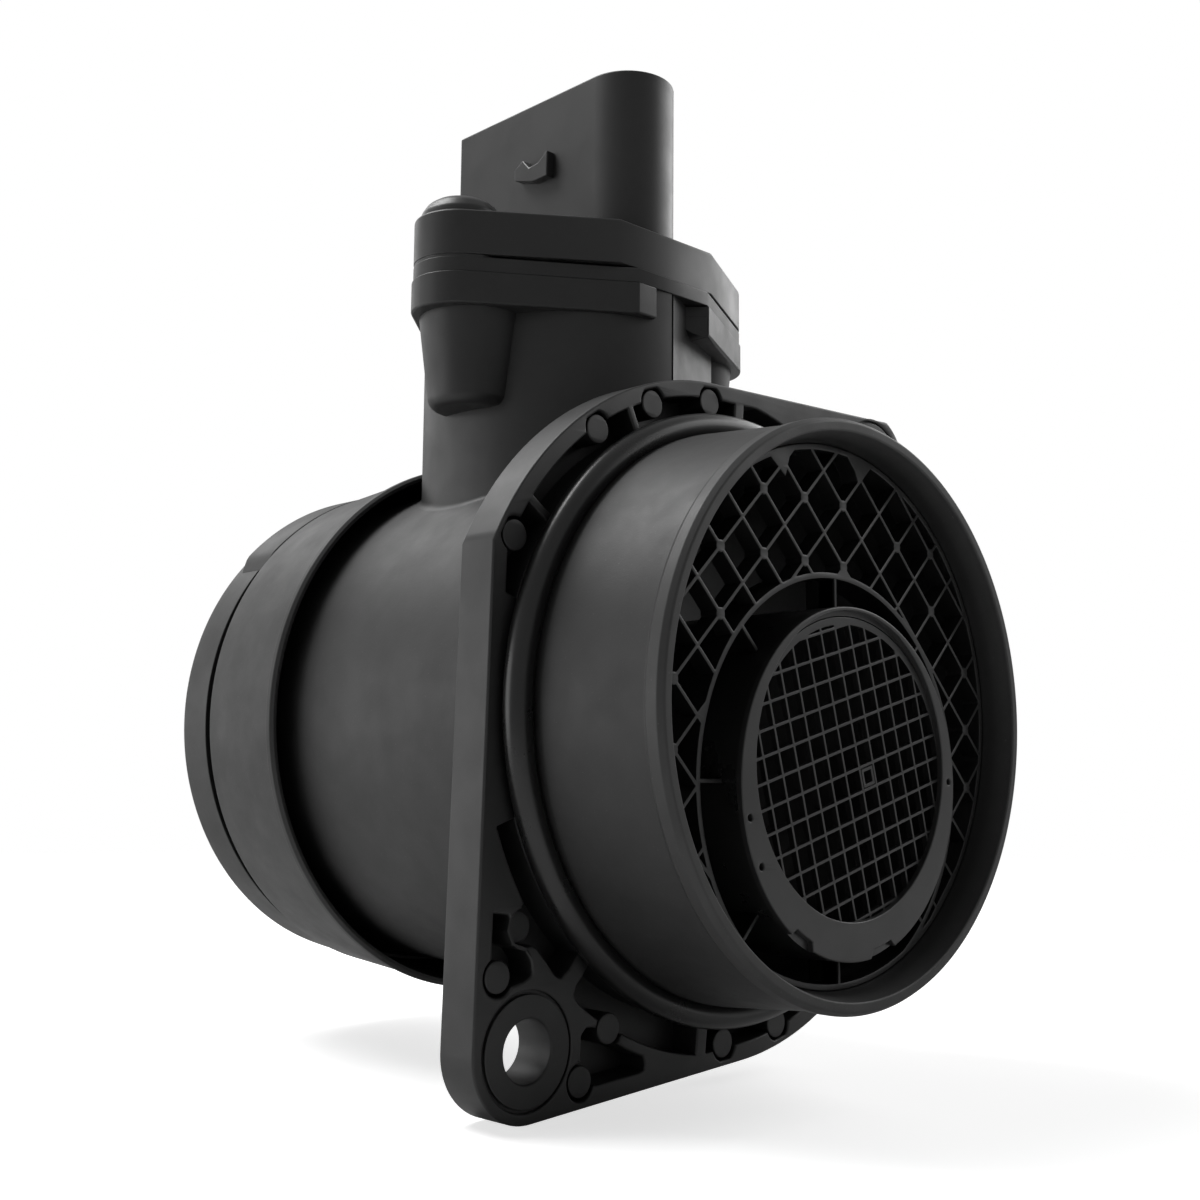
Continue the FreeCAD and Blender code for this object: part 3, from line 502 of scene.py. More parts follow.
def contours(grid, values):
    """Closed outlines of the region where the field is negative."""
    below = values < 0
    mixed = ~((below[:-1, :-1] == below[1:, :-1]) & (below[:-1, :-1] == below[:-1, 1:])
              & (below[:-1, :-1] == below[1:, 1:]))
    xs, zs = grid[0][:, 0], grid[1][0, :]
    nearby = {}

    def cross(i0, j0, i1, j1):
        a, b = values[i0, j0], values[i1, j1]
        t = a / (a - b)
        return (xs[i0] + (xs[i1] - xs[i0]) * t, zs[j0] + (zs[j1] - zs[j0]) * t)

    for i, j in zip(*np.nonzero(mixed)):
        corners = ((i, j), (i + 1, j), (i + 1, j + 1), (i, j + 1))
        cuts = []
        for k in range(4):
            a, b = corners[k], corners[(k + 1) % 4]
            if below[a] != below[b]:
                cuts.append((min(a, b), max(a, b)))
        if len(cuts) == 4 and below[i, j] != (values[i:i + 2, j:j + 2].mean() < 0):
            cuts = [cuts[0], cuts[3], cuts[1], cuts[2]]
        for a, b in zip(cuts[::2], cuts[1::2]):
            nearby.setdefault(a, []).append(b)
            nearby.setdefault(b, []).append(a)
    loops = []
    while nearby:
        start = next(iter(nearby))
        ring = [start]
        before, here = None, start
        while True:
            ahead = nearby[here][0] if nearby[here][0] != before else nearby[here][-1]
            if ahead == start:
                break
            ring.append(ahead)
            before, here = here, ahead
        for point in ring:
            del nearby[point]
        loop = thinned([cross(*a, *b) for a, b in ring])
        if len(loop) > 3:
            loops.append(loop)
    return sorted(loops, key=lambda loop: -abs(area(loop)))


def thinned(loop):
    """Outline without the points that a straight run doesn't need."""
    slack = 0.012
    longest_run = 60
    points = np.array(loop)
    keep = {0, len(points) // 2}
    spans = [(0, len(points) // 2), (len(points) // 2, len(points))]
    while spans:
        a, b = spans.pop()
        if b - a < 2:
            continue
        start, end = points[a], points[b % len(points)]
        run = end - start
        length = np.hypot(*run)
        middle = points[a + 1:b]
        if length < 1e-9:
            off = np.hypot(*(middle - start).T)
        else:
            off = np.abs((middle[:, 0] - start[0]) * run[1] - (middle[:, 1] - start[1]) * run[0])
            off = off / length
        worst = int(np.argmax(off))
        if off[worst] > slack or b - a > longest_run:
            split = a + 1 + worst if off[worst] > slack else (a + b) // 2
            keep.add(split)
            spans += [(a, split), (split, b)]
    return [tuple(points[i]) for i in sorted(keep)]


# Sizes, from the model's source or closer to the photo, within the model's box

# Spigot and body
spigot_length = 26.3
lip_radius = 42.6
spigot_root = 43.55
seat_radius = 42.78
mouth_radius = 39.6
end_radius = 40.6
body_radius = 42.8
bore_radius = 39.0

# Flange
flange_thickness = 7.0
flange_radius = 52.8
bolt = (40.3, 46.2)
bolt_corner = 9.58
bolt_hole = 4.25
bolt_face = 7.5
bolt_moat = 8.1
flange_bore = 42.0
flat_side_x = 47.9
corner_top = 53.2
corner_slope = 0.05
corner_from = 13.8
rim_wall = 2.7
pocket_depth = 5.0
pocket_inner = 45.9

# Skirt and outlet stub
outlet_end = 90.7
skirt_start = 55.7
skirt_back = 72.7
skirt_radius = 47.0
stub_radius = 44.9
groove_floor = 42.3
groove_start = 78.6
groove_end = 81.9
key_end = 87.6
band_radius = 43.8

# Neck, platform, cover plate and screws
neck_y = 37.0
neck_radius = 25.5
platform_top = 73.5
platform_low = 65.25
platform_step = 70.6
platform_front = (-8.4, 8.4, 11.3)
plate_front = (-11.5, 10.8, 12.5)
plate_relief = 0.4
plate_top = 80.95
screw_spots = ((-27.7, 33.7), (25.3, 28.7))
ear_radius = 7.7
ear_contacts = (8.2, 6.0)
head_back = (10.8, 60.3)
boss_shift = 3.2
boss_low = 50.0
boss_high = 66.0
boss_low_radius = 7.0
boss_high_radius = 9.0

# Grid and measuring tube
hub_z = -10.1
grid_front = -21.3
grid_seat = -15.8
tube_front = -24.6
tube_radius = 25.3


def tangent(point, centre, radius, side):
    """Angle, seen from the centre, at which a line from a point touches a circle."""
    dx, dy = point[0] - centre[0], point[1] - centre[1]
    return math.atan2(dy, dx) + side * math.acos(radius / math.hypot(dx, dy))


def arc(centre, radius, start, end, step=0.06):
    """Points along an arc, both ends included."""
    count = max(2, int(abs(end - start) / step))
    return [(centre[0] + radius * math.cos(start + (end - start) * k / count),
             centre[1] + radius * math.sin(start + (end - start) * k / count))
            for k in range(count + 1)]


def flange_outline():
    """Plan of the flange, whose upper right corner is a little lower than a half turn gives."""
    reach = math.hypot(*bolt)
    toward = math.atan2(bolt[1], bolt[0])
    leave = toward + math.acos((flange_radius - bolt_corner) / reach)
    side_z = math.sqrt(flange_radius ** 2 - flat_side_x ** 2)
    low = (flat_side_x, -side_z)
    side = tangent(low, bolt, bolt_corner, 1)
    begin = math.atan2(side_z, -flat_side_x)
    half = arc((0, 0), flange_radius, begin, leave, 0.03)
    half += arc(bolt, bolt_corner, leave, side)
    upper = [(x, min(z, corner_top + corner_slope * max(x - corner_from, 0.0))) for x, z in half]
    return upper + [low] + [(-x, -z) for x, z in half] + [(-low[0], -low[1])]


# Duct wall: spigot, body, skirt and outlet stub

def build_duct():
    """Whole duct wall, from the lip round the outside to the end band and back by the bore."""
    profile = [
        (end_radius, -spigot_length, 0.35),
        (lip_radius - 0.6, -spigot_length, 0.5),
        (lip_radius, -spigot_length + 0.9, 0.5),
        (lip_radius, -spigot_length + 2.7, 0.5),
        (lip_radius - 0.35, -spigot_length + 3.2, 0.8),
        (spigot_root, -5.2, 2.0),
        (spigot_root, -3.0, 0.6),
        (seat_radius, -2.2, 0.0),
        (seat_radius, 2.0, 0.0),
        (body_radius, 6.0, 0.0),
        (body_radius, skirt_back, 0.3),
        (body_radius + 0.85, skirt_back, 0.3),
        (skirt_radius - 1.1, skirt_start, 0.15),
        (skirt_radius - 0.5, skirt_start, 0.2),
        (skirt_radius, skirt_start + 0.5, 0.35),
        (skirt_radius, skirt_start + 1.5, 0.35),
        (skirt_radius - 0.5, skirt_start + 2.1, 0.4),
        (stub_radius, groove_start, 0.25),
        (groove_floor, groove_start + 0.4, 0.15),
        (groove_floor, groove_end, 0.15),
        (band_radius, groove_end, 0.15),
        (band_radius, key_end, 0.0),
        (band_radius - 0.2, key_end + 0.2, 0.0),
        (band_radius - 0.2, outlet_end, 1.3),
        (end_radius, outlet_end, 0.6),
        (bore_radius, outlet_end - 3.4, 2.0),
        (bore_radius, grid_seat, 0.1),
        (mouth_radius, grid_seat, 0.1),
        (mouth_radius, grid_front - 0.1, 0.6),
    ]
    return turned(profile, along(), 288)


# Mounting flange

narrow_web = 1.3
narrow_webs = (145.0, 115.5, -34.0, -62.0)
wide_web = 2.3
wide_webs = (86.0, -96.5)
web_start = 44.9
web_end = 51.8
pad_circle = 49.6
pad_moat = 0.45
rim_pads = (152.0, 124.5, 109.5, 94.0, -90.5, -75.5, -56.0, -30.0)
corner_pads = ((-45.6, -36.1), (-24.9, -44.85), (-30.4, -51.45))
pad_radius = 2.2
low_pad = (-41.05, -29.9)
pad_sunk = 0.3
low_pad_sunk = 1.6
corner_span = (-160.0, -97.0)
side_span = (161.5, 199.5)
past_rim = 90.0
inside_ring = 44.0
ring_pocket_edge = 49.1
low_pocket_edge = 51.0
pocket_corner = 0.6
side_pocket = ((-52.0, -27.0), (-43.6, -28.1), (-44.2, -30.2), (-43.2, -32.2), (-41.0, -32.9),
               (-39.9, -34.4), (-39.6, -36.2), (-41.2, -37.0), (-43.4, -37.5), (-45.6, -38.4),
               (-52.0, -38.0))
ring_pocket = ((-41.7, -26.9), (-41.0, -31.8), (-38.8, -32.8), (-36.8, -35.05), (-35.5, -36.55),
               (-34.5, -37.1), (-32.9, -36.1), (-31.3, -34.2))
low_pocket = ((-29.3, -35.9), (-30.25, -37.2), (-31.4, -38.3), (-31.9, -39.7), (-30.9, -40.9),
              (-27.5, -43.2))
corner_pocket = ((-30.4, -45.2), (-29.5, -44.3), (-27.8, -44.4), (-24.9, -46.2), (-22.2, -47.8),
                 (-19.4, -49.0), (-18.1, -49.5), (-17.6, -51.2), (-20.1, -51.9), (-24.3, -52.2),
                 (-27.9, -52.6), (-30.4, -52.2), (-30.1, -49.1), (-30.6, -48.5))


def spot(radius, degrees, z=0.0):
    """Point at a radius and an angle round a centre that may lie above or below the axis."""
    turn = math.radians(degrees)
    return (radius * math.cos(turn), z + radius * math.sin(turn))


def corner_land(grid, pockets):
    """Land round the lower left bolt hole, with its pockets left open."""
    first, last = corner_span
    wedge = [(0, 0)] + [spot(past_rim, angle) for angle in (first, (first + last) / 2, last)]
    ring_loop = [spot(ring_pocket_edge, angle) for angle in range(-161, -146, 2)]
    ring_loop += list(ring_pocket)
    ring_loop += [spot(inside_ring, angle) for angle in (-132.5, -140, -150, -161)]
    low_loop = list(low_pocket)
    low_loop += [spot(low_pocket_edge, angle) for angle in range(-120, -94, 2)]
    low_loop += [spot(inside_ring, angle) for angle in (-96, -108, -120, -129.2)]
    land = outline_field(grid, wedge)
    for loop in (ring_loop, low_loop) + pockets:
        rounded = eased([(x, z, pocket_corner) for x, z in loop], 3)
        land = np.maximum(land, -outline_field(grid, rounded))
    return land


def flange_pads():
    """Middle of each ejector pad and how far its face is sunk."""
    pads = [(*spot(pad_circle, angle), pad_sunk) for angle in rim_pads]
    pads += [(x, z, pad_sunk) for x, z in corner_pads]
    pads += [(-x, -z, pad_sunk) for x, z in corner_pads[:2]]
    return pads + [(sign * low_pad[0], sign * low_pad[1], low_pad_sunk) for sign in (1, -1)]


def flange_pockets(outline):
    """Outlines of the open pockets in the flange's front."""
    grid = field(-54, 54, -58, 58, 0.16)
    edge = outline_field(grid, outline)
    inner = circle_field(grid, 0, 0, pocket_inner)
    land = inner
    for angles, width in ((narrow_webs, narrow_web), (wide_webs, wide_web)):
        for angle in angles:
            web = bar_field(grid, spot(web_start, angle), spot(web_end, angle), width)
            land = np.minimum(land, web)
    side = [(0, 0)] + [spot(past_rim, angle) for angle in side_span]
    for sign in (1, -1):
        half_turn = (sign * grid[0], sign * grid[1])
        pockets = (side_pocket, corner_pocket) if sign > 0 else (side_pocket,)
        land = np.minimum(land, corner_land(half_turn, pockets))
        land = np.minimum(land, outline_field(half_turn, side))
    moats = np.full(grid[0].shape, 1e9)
    for x, z, _ in flange_pads():
        moats = np.minimum(moats, circle_field(grid, x, z, pad_radius + pad_moat))
    moats = np.maximum(np.maximum(moats, edge + rim_wall / 3), -inner)
    pocket = np.minimum(np.maximum(edge + rim_wall, -land), moats)
    return [loop for loop in contours(grid, pocket) if abs(area(loop)) > 1.5]


def build_flange():
    """Flange in two layers, the front one with the pockets, and its bolt faces and pads."""
    outline = flange_outline()
    holes = flange_pockets(outline)
    bolts = [(sign * bolt[0], sign * bolt[1]) for sign in (1, -1)]
    hole_loops = [disc(x, z, bolt_hole, 64) for x, z in bolts]
    face_loops = [disc(x, z, bolt_moat - 0.15, 96) for x, z in bolts]
    bore = disc(0, 0, flange_bore, 200)
    front = slab([outline, bore] + face_loops + holes, 0.0, pocket_depth, 0.0, along(),
                 low_edge=0.35)
    back = slab([outline, bore] + hole_loops, pocket_depth, flange_thickness, 0.4, along(),
                low_edge=0.0)
    parts = [front, back]
    ring = [(bolt_hole, 0.0, 0.35), (bolt_face, 0.0, 0.12), (bolt_face, 0.55, 0.0),
            (bolt_moat, 0.55, 0.0), (bolt_moat, pocket_depth, 0.0), (bolt_hole, pocket_depth, 0.0)]
    parts += [turned(ring, along(x, z), 96) for x, z in bolts]
    for x, z, sunk in flange_pads():
        parts.append(slab([disc(x, z, pad_radius, 36)], sunk, pocket_depth + 0.2, 0.02, along(),
                          low_edge=0.22))
    return joined(*parts)


# Neck with its flat, its foot and the platform

def neck_outline(radius):
    """Plan of the neck: round, with a parting groove in front and a flat beside it."""
    points = arc((0.0, neck_y), radius, math.radians(-45.0), math.radians(269.2), 0.035)
    front = neck_y - radius
    return points + [(-0.22, front + 0.4), (0.1, front + 0.4), (0.22, front + 0.14)]


def build_neck():
    """Column of the neck, and the rounded foot that joins it to the body."""
    outline = neck_outline(neck_radius)
    column = slab([outline], 30.0, platform_top - 2 * plate_relief, 0.25, upright())
    foot_verts = []
    steps = 7
    foot_radius = 0.8
    for (x, y), (ox, oy) in zip(outline, inset(outline, -foot_radius)):
        corner = Vector((x, y, math.sqrt(max(body_radius ** 2 - x * x, 1.0))))
        top = corner + Vector((0, 0, foot_radius))
        out = Vector((ox, oy, math.sqrt(max(body_radius ** 2 - ox * ox, 1.0))))
        for k in range(steps + 1):
            t = k / steps
            foot_verts.append(tuple(top * (1 - t) ** 2 + corner * 2 * t * (1 - t) + out * t * t))
    foot_faces = []
    count = len(outline)
    for i in range(count):
        j = (i + 1) % count
        for k in range(steps):
            a = i * (steps + 1) + k
            b = j * (steps + 1) + k
            foot_faces.append((a, b, b + 1, a + 1))
    return column, (foot_verts, foot_faces)


def head_outline(front, grow):
    """Plan of the cover plate and platform, grown by a distance."""
    front_left, front_right, front_y = front
    left, right = screw_spots
    back_right, back_y = head_back
    a0 = tangent((-back_right, back_y), left, ear_radius, 1)
    a1 = tangent((front_left, front_y), left, ear_radius, -1) + 2 * math.pi
    b0 = tangent((front_right, front_y), right, ear_radius, 1) - 2 * math.pi
    b1 = tangent(head_back, right, ear_radius, -1)
    line = [(front_left, front_y), (front_right, front_y)]
    line += arc(right, ear_radius, b0 % (2 * math.pi) - 2 * math.pi, b1, 0.09)
    line += [(back_right, back_y), (-back_right, back_y)]
    line += arc(left, ear_radius, a0 % (2 * math.pi), a1 % (2 * math.pi), 0.09)
    if area(line) < 0:
        line = line[::-1]
    return [tuple(p) for p in inset(line, -grow)]


def boss_spot(x, y):
    """Middle of a screw boss, which sits nearer to the neck than its screw."""
    share = boss_shift / math.hypot(x, y - neck_y)
    return x * (1 - share), y + (neck_y - y) * share


def build_head():
    """Platform in two steps, with a gap in its lower rail, and the two screw bosses."""
    grid = field(-40, 40, 8, 65, 0.2)
    upper = head_outline(platform_front, 0.0)
    lower = outline_field(grid, head_outline(platform_front, 0.25))
    _, corner_x, front_y = platform_front
    gap_left, gap_right, gap_back = -4.4, 5.0, 20.0
    slant = front_y + corner_x
    wide_gap = [(gap_left, 0.0), (corner_x, 0.0), (corner_x, gap_back), (gap_left, gap_back)]
    gap = [(gap_left, 0.0), (corner_x, 0.0), (corner_x, front_y), (gap_right, slant - gap_right),
           (gap_right, gap_back), (gap_left, gap_back)]
    relief_top = platform_top - plate_relief
    end_round = corner_x - gap_right
    bend = platform_low + end_round
    low_rail = np.maximum(lower, -outline_field(grid, wide_gap))
    high_rail = np.maximum(lower, -outline_field(grid, gap))
    end = arc((corner_x, bend), end_round, math.pi, 1.5 * math.pi, 0.12)
    end += [(corner_x + 0.1, platform_low), (corner_x + 0.1, bend + 0.1), (gap_right, bend + 0.1)]
    parts = [
        slab([upper], platform_step, relief_top, 0.25, upright(), low_edge=0.15),
        slab([contours(grid, high_rail)[0]], bend, platform_step, 0.25, upright(), low_edge=0.0),
        slab([contours(grid, low_rail)[0]], platform_low, bend, 0.0, upright(), low_edge=0.45),
        prism(end, 0.0, 1.0, lambda x, z, h: (x, slant - x if h == 0 else gap_back - 1.0, z)),
    ]
    plate = outline_field(grid, head_outline(platform_front, -0.05))
    boss = [(0.001, boss_low, 0.0), (boss_low_radius, boss_low, 1.9),
            (boss_high_radius, boss_high, 0.0), (0.001, boss_high, 0.0)]
    for (x, y), contact in zip(screw_spots, ear_contacts):
        ear = np.maximum(plate, circle_field(grid, x, y, contact))
        parts.append(slab([contours(grid, ear)[0]], relief_top - 0.5, platform_top, 0.15,
                          upright(), low_edge=0.0))
        parts.append(turned(boss, upright(*boss_spot(x, y)), 96))
    return joined(*parts)


def build_key():
    """Raised arc on top of the end band, which fills the groove there and slopes at its ends."""
    half = math.radians(52.0)
    slope = 0.07
    steps = 90
    turns = [-half + 2 * half * k / steps for k in range(steps + 1)]
    rows = [groove_start + 0.3, key_end]

    def on(radius, rise):
        def place(t, y):
            here = radius + rise * min(1.0, (half - abs(t)) / slope)
            return here * math.sin(t), y, here * math.cos(t)
        return place

    outer, inner = on(band_radius, 1.2), on(groove_floor - 0.3, 0.0)
    return shell(turns, rows, lambda i, j: i < steps, outer, inner)


duct = build_duct()
flange = build_flange()
column, foot = build_neck()
head = build_head()
finish("duct_wall", *duct, spigot_skin, ["housing"], "housing_plastic")
finish("flange", *flange, housing_skin, slot="housing_plastic")
finish("neck", *joined(column, foot), housing_skin, slot="housing_plastic")
finish("platform", *head, housing_skin, slot="housing_plastic")
arc_piece = finish("hose_stop", *build_key(), spigot_skin, slot="housing_plastic")
soften(arc_piece, 0.35, 3)


# Inlet grid

grid_radius = 39.5
ring_middle = 39.05
hub_middle = 30.15
half_wall = 0.45
bar_pitch = 9.25
bar_width = 0.6
crossing = (2.1, 3.1)
crossing_pad = 0.9
gussets = (109.0, 80.0)


def build_grid():
    """Diamond bars, pads on some crossings, ring, hub ring and the ribs to the tube."""
    grid = field(-40, 40, -40, 40, 0.14)
    ring = np.abs(circle_field(grid, 0, 0, ring_middle)) - half_wall
    hub_circle = circle_field(grid, 0, hub_z, hub_middle)
    hub = np.abs(hub_circle) - half_wall
    bars = np.full(grid[0].shape, 1e9)
    start_x, start_z = crossing
    step = bar_pitch / math.sqrt(2)
    for direction in (1, -1):
        across = ((grid[0] - start_x) - direction * (grid[1] - start_z)) / math.sqrt(2)
        across = np.abs((across + step / 2) % step - step / 2) - bar_width / 2
        bars = np.minimum(bars, across)
    for row in range(-8, 9):
        for column_index in range(-8, 9):
            shift = 0.0 if column_index < 1 else 0.5
            x = start_x + bar_pitch * (column_index + shift)
            z = start_z + bar_pitch * (row + shift)
            if math.hypot(x, z) < 37.7 and math.hypot(x, z - hub_z) > 31.5:
                bars = np.minimum(bars, circle_field(grid, x, z, crossing_pad))
    for angle in gussets:
        wedge = [spot(35.2, angle), spot(39.0, angle - 4), spot(39.0, angle + 4)]
        bars = np.minimum(bars, outline_field(grid, wedge))
    bars = np.maximum(bars, -hub_circle)
    ribs = np.full(grid[0].shape, 1e9)
    for angle in range(0, 360, 45):
        rib = bar_field(grid, spot(25.4, angle, hub_z), spot(30.2, angle, hub_z), bar_width)
        ribs = np.minimum(ribs, rib)
    walls = np.minimum(np.minimum(ring, hub), ribs)

    def layer(shape, low, high, edge, low_edge):
        shape = np.maximum(shape, circle_field(grid, 0, 0, grid_radius))
        shape = np.maximum(shape, -circle_field(grid, 0, hub_z, tube_radius + 0.1))
        loops = [loop for loop in contours(grid, shape) if abs(area(loop)) > 0.4]
        return slab(loops, low, high, edge, along(), steps=2, low_edge=low_edge)

    return joined(layer(np.minimum(walls, bars), grid_front, grid_front + 3.0, 0.15, 0.2),
                  layer(walls, grid_front + 0.3, grid_front + 5.4, 0.1, 0.1))


finish("diamond_grid", *build_grid(), grid_skin, ["inlet_grid"], "housing_plastic")


# Measuring tube with its front ring and its fine screen

tube_back = 55.4
strut_front = 45.4
strut_width = 1.8
tube_bore = 24.0
face_back = tube_front + 0.9
face_hole = (0.1, -7.55, 22.25)
face_notches = ((-126, -114), (-82, -69))
notch_depth = 1.2
face_pins = (-168.5, -152.0, 0.5)
probe_slot = 6.95
screen_turn = 15.4
screen_pitch = 3.45
screen_rim = 23.3
mark_half = 1.1


def build_tube():
    """Front ring, and the tube behind it with the slot for the probe and two struts."""
    count = 240
    outer = []
    for k in range(count):
        turn = (360.0 * k / count + 180) % 360 - 180
        deep = any(low < turn < high for low, high in face_notches)
        outer.append(spot(tube_radius - (notch_depth if deep else 0.0), turn, hub_z))
    pins = [disc(*spot(tube_bore, angle, hub_z), 0.5, 20) for angle in face_pins]
    face = slab([outer, disc(*face_hole, 200)] + pins, tube_front, face_back, 0.0, along(),
                low_edge=0.2)
    turns = [2 * math.pi * k / count for k in range(count)]
    rows = [face_back, 16.5, strut_front, tube_back]
    slot = math.asin(probe_slot / tube_radius)

    def kept(i, j):
        return j == 0 or abs(turns[i] + math.pi / count - math.pi / 2) > slot

    def on(radius):
        return lambda t, y: (radius * math.cos(t), y, hub_z + radius * math.sin(t))

    grid = field(-40, 40, -40, 0, 0.2)
    parts = [shell(turns, rows, kept, on(tube_radius), on(tube_bore))]
    for angle in (-45.0, -135.0):
        strut = bar_field(grid, spot(24.8, angle, hub_z), spot(60.0, angle, hub_z), strut_width)
        strut = np.maximum(strut, circle_field(grid, 0, 0, 38.9))
        parts.append(slab([contours(grid, strut)[0]], strut_front, tube_back, 0.2, along()))
    return face, joined(*parts)


def build_screen():
    """Fine square mesh, turned a little, with a small square mark and a rim."""
    grid = field(-25, 25, -35, 15, 0.13)
    turn = math.radians(screen_turn)
    dx, dz = grid[0], grid[1] - hub_z
    u = dx * math.cos(turn) + dz * math.sin(turn)
    v = -dx * math.sin(turn) + dz * math.cos(turn)
    half = screen_pitch / 2
    lattice = np.minimum(np.abs((u + 0.92 + half) % screen_pitch - half),
                         np.abs((v - 1.43 + half) % screen_pitch - half)) - 0.21
    mark = np.maximum(np.abs(u - 4.25), np.abs(v + 0.3))
    lattice = np.minimum(lattice, np.abs(mark - mark_half) - 0.2)
    rim = np.abs(circle_field(grid, 0, hub_z, screen_rim)) - 0.55
    shape = np.maximum(np.minimum(lattice, rim), circle_field(grid, 0, hub_z, screen_rim + 0.55))
    loops = [loop for loop in contours(grid, shape) if abs(area(loop)) > 0.3]
    return slab(loops, face_back, face_back + 0.9, 0.07, along(), steps=2)


tube_face, tube_wall = build_tube()
finish("tube_wall", *tube_wall, tube_skin, ["measuring_tube"], "housing_plastic")
finish("tube_front", *tube_face, face_skin, slot="housing_plastic")
finish("fine_screen", *build_screen(), grid_skin, ["tube_screen"], "housing_plastic")


# Seal ring at the spigot's root

def build_seal():
    """Round-section ring against the flange."""
    section = disc(45.0, -2.22, 2.1, 28)
    return turned([(radius, height, 0.0) for radius, height in section], along(), 256)


finish("seal_ring", *build_seal(), rubber_skin, ["spigot_seal"], "seal_rubber")


# Plug-in sensor: cover plate, connector and latch

shroud_half = 8.1
shroud_centre = (0.0, 22.6)
shroud_back = 59.2
shroud_top = 110.1
shroud_wall = 1.9


def shroud_outline(shrink):
    """Plan of the connector: round in front, square behind."""
    half = shroud_half - shrink
    far = shroud_back - shrink
    front = arc(shroud_centre, half, math.pi, 2 * math.pi, 0.05)
    back = eased([(half, 30.0, 0.0), (half, far, 0.7), (-half, far, 0.7), (-half, 30.0, 0.0)])
    return front + back


def stadium(width, front, back):
    """Plan with a round front and a round back."""
    half = width / 2
    return (arc((0.0, front + half), half, math.pi, 2 * math.pi, 0.08)
            + arc((0.0, back - half), half, 0.0, math.pi, 0.08))


def build_latch():
    """Hook for the plug's clip, on the left of the connector."""
    side = [(41.3, 96.2), (41.3, 98.2), (39.15, 99.4), (37.4, 97.6), (35.1, 97.8),
            (32.7, 99.4), (32.7, 94.8), (36.6, 94.8)]
    return prism(side, -7.6, -9.8, lambda y, z, x: (x, y, z))


def build_sensor():
    """Cover plate, open connector with its floor, and the stem in the neck."""
    plate = slab([head_outline(plate_front, 0.0)], platform_top, plate_top, 0.5, upright(),
                 low_edge=0.15)
    shroud = slab([shroud_outline(0.0), shroud_outline(shroud_wall)], plate_top - 1.0, shroud_top,
                  0.35, upright(), low_edge=0.1)
    floor = slab([shroud_outline(shroud_wall - 0.2)], 84.5, 86.1, 0.05, upright())
    stem = slab([stadium(15.4, 16.6, 55.0)], 45.4, platform_top + 1.0, 0.3, upright())
    return joined(plate, shroud, floor, stem)


def build_probe():
    """Probe in the measuring tube, with its channels cut out."""
    nose = arc((0.0, 23.45), 6.25, math.pi, 2 * math.pi, 0.06)
    outline = nose + [(6.25, 51.6), (-6.25, 51.6)]
    cutters = [box(1.7, 7, 23.8, 49.4, 9, 43), box(1.7, 5.05, 33.0, 38.6, -13.0, 9.5),
               box(-5.05, 5.05, 16, 53, -14.8, -5.8), box(5.05, 7, 23.45, 53, -16.4, -4.2),
               box(5.0, 7.1, 33.0, 38.6, -5.8, 9.6), box(-7, 7, 20.4, 25.0, -1.2, 7.0)]
    return cut(slab([outline], -18.2, 45.6, 0.0, upright(), low_edge=0.3), cutters)


finish("cover_plate", *build_sensor(), sensor_skin, ["sensor_body"], "sensor_plastic")
finish("probe", *build_probe(), sensor_skin, slot="sensor_plastic")
soften(finish("latch", *build_latch(), sensor_skin, slot="sensor_plastic"), 0.2, 2)


def build_screw(x, y):
    """Wide low dome with a hex socket, on a plain shank."""
    seat = plate_top
    profile = [(0.001, seat + 3.85, 0.0), (2.6, seat + 3.85, 2.0), (4.3, seat + 3.5, 2.5),
               (5.7, seat + 2.6, 2.5), (6.6, seat + 1.2, 1.2), (6.7, seat, 0.1), (2.2, seat, 0.0),
               (2.2, seat - 18.4, 0.2), (1.6, seat - 19.0, 0.1), (0.001, seat - 19.0, 0.0)]
    corners = [spot(2.3, 60 * k) for k in range(6)]
    socket = prism([(x + a, y + b) for a, b in corners], seat + 1.9, seat + 6, upright())
    return cut(turned(profile, upright(x, y), 96), [socket])


for name, place in (("screw_left", screw_spots[0]), ("screw_right", screw_spots[1])):
    finish(name + "_head", *build_screw(*place), screw_skin, [name], "screw_steel")


# Pieces that keep their model mesh

for name, skin in (("sensor_seal", rubber_skin), ("carrier_plate", rolled),
                   ("circuit_board", ceramic), ("signal_chip", epoxy), ("gel_fill", gel),
                   ("electronics_cover", sensor_skin), ("channel_cover", sensor_skin),
                   ("sensing_element", epoxy), ("temperature_sensor", epoxy)):
    nodes[name].data.materials.clear()
    nodes[name].data.materials.append(skin)
for index in range(1, 6):
    blade = nodes["terminal_%d" % index]
    blade.data.materials.clear()
    blade.data.materials.append(tinned)


# Floor, light and camera: lengths in metres

fade_start = 0.22
fade_end = 0.75
lamp_size = 0.45
lamp_distance = 0.9
lamp_aim = (0, 0.02, 0)


def background_level(tree, direct, mirrored):
    """Strength of the white background, seen directly or through glass, and in gloss."""
    path = tree.nodes.new("ShaderNodeLightPath")
    seen = tree.nodes.new("ShaderNodeMath")
    seen.operation = "MAXIMUM"
    link(tree, path, "Is Camera Ray", seen, 0)
    link(tree, path, "Is Transmission Ray", seen, 1)
    level = tree.nodes.new("ShaderNodeMath")
    level.operation = "MULTIPLY"
    level.inputs[1].default_value = direct
    link(tree, seen, "Value", level, 0)
    both = tree.nodes.new("ShaderNodeMath")
    both.operation = "MULTIPLY_ADD"
    both.inputs[1].default_value = mirrored
    link(tree, path, "Is Glossy Ray", both, 0)
    link(tree, level, "Value", both, 2)
    return both


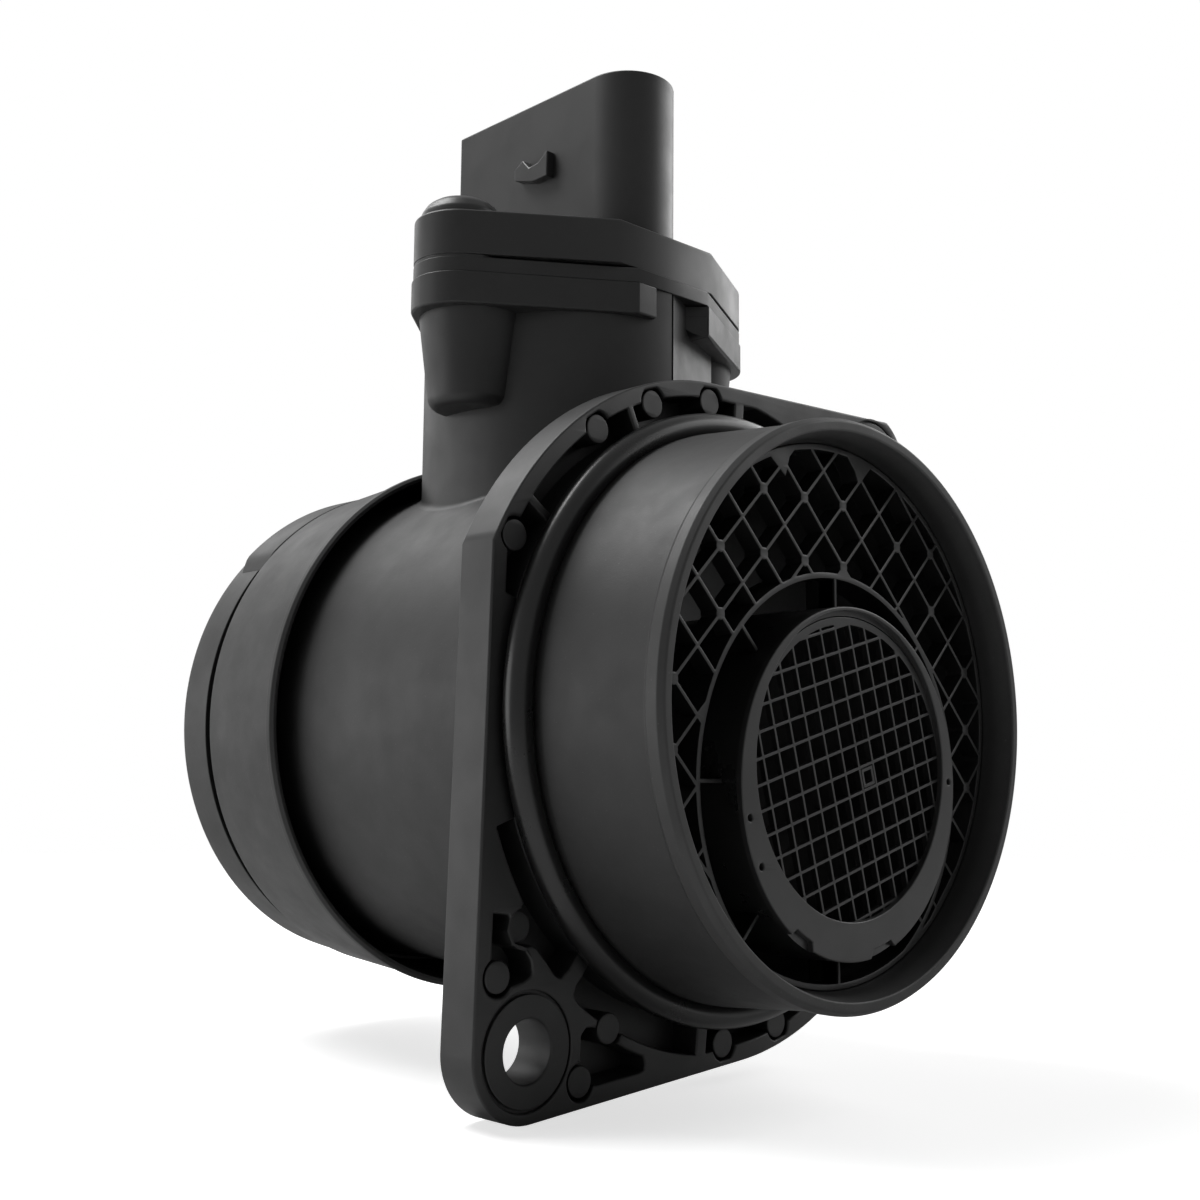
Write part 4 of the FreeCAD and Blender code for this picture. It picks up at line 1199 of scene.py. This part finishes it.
def build_floor():
    """Pale floor under the part, which fades into the white background."""
    low = cad_box[0].z
    mesh = bpy.data.meshes.new("floor")
    size = 1.6
    mesh.from_pydata([(-size, -size, low), (size, -size, low), (size, size, low),
                      (-size, size, low)], [], [(0, 1, 2, 3)])
    floor = added("floor", mesh)
    made, tree, shader = material("pale_floor")
    coords = tree.nodes.new("ShaderNodeTexCoord")
    mottle = noise(tree, coords, 8.0, 3.0)
    tone = ramp(tree, mottle, [(0.3, (0.86, 0.86, 0.86)), (0.7, (0.90, 0.90, 0.90))])
    link(tree, tone, "Color", shader, "Base Color")
    shader.inputs["Roughness"].default_value = 0.9
    shader.inputs["Specular IOR Level"].default_value = 0.1
    span = tree.nodes.new("ShaderNodeVectorMath")
    span.operation = "LENGTH"
    link(tree, coords, "Object", span, 0)
    fade = tree.nodes.new("ShaderNodeMapRange")
    fade.inputs["From Min"].default_value = fade_start
    fade.inputs["From Max"].default_value = fade_end
    link(tree, span, "Value", fade, "Value")
    shader.inputs["Emission Color"].default_value = (1.0, 1.0, 1.0, 1.0)
    link(tree, background_level(tree, 0.7, 0.1), "Value", shader, "Emission Strength")
    clear = tree.nodes.new("ShaderNodeBsdfTransparent")
    blend = tree.nodes.new("ShaderNodeMixShader")
    link(tree, fade, "Result", blend, "Fac")
    link(tree, shader, "BSDF", blend, 1)
    link(tree, clear, "BSDF", blend, 2)
    link(tree, blend, "Shader", tree.nodes["Material Output"], "Surface")
    mesh.materials.append(made)


def build_world():
    """White background, weaker in gloss than it looks."""
    world = bpy.data.worlds.new("studio")
    bpy.context.scene.world = world
    world.use_nodes = True
    tree = world.node_tree
    white = tree.nodes["Background"]
    white.inputs["Color"].default_value = (1.0, 1.0, 1.0, 1.0)
    link(tree, background_level(tree, 1.0, 0.36), "Value", white, "Strength")


def lamp(name, compass, rise, power):
    """Square soft lamp turned to the duct, from two angles in degrees and its power."""
    data = bpy.data.lights.new(name, "AREA")
    data.size = lamp_size
    data.energy = power
    thing = added(name, data)
    flat = math.cos(math.radians(rise))
    toward = Vector((*(flat * c for c in spot(1.0, compass)), math.sin(math.radians(rise))))
    thing.location = Vector(lamp_aim) + toward * lamp_distance
    thing.rotation_euler = toward.to_track_quat("Z", "Y").to_euler()
    thing.visible_camera = False


build_floor()
build_world()
lamp("left_high", 120, 60, 5.5)
lamp("left_low", 120, 4, 1.0)
lamp("left_side", 150, 4, 1.2)
lamp("rear", 90, 30, 1.0)
lamp("right_side", 0, 30, 2.3)
lamp("right_front", 330, 30, 1.5)

camera_right = (0.7149, -0.6991, 0.0091)
camera_up = (-0.0909, -0.0800, 0.9926)
camera_back = (-0.6933, -0.7105, -0.1208)
camera_place = (-0.17608, -0.15208, -0.01017)
camera = added("camera", bpy.data.cameras.new("camera"))
camera.data.sensor_width = 36.0
camera.data.lens = 44.49
camera.data.clip_start = 0.01
camera.matrix_world = Matrix((*zip(camera_right, camera_up, camera_back, camera_place),
                              (0, 0, 0, 1)))
bpy.context.scene.camera = camera
bpy.context.scene.view_settings.view_transform = "Standard"
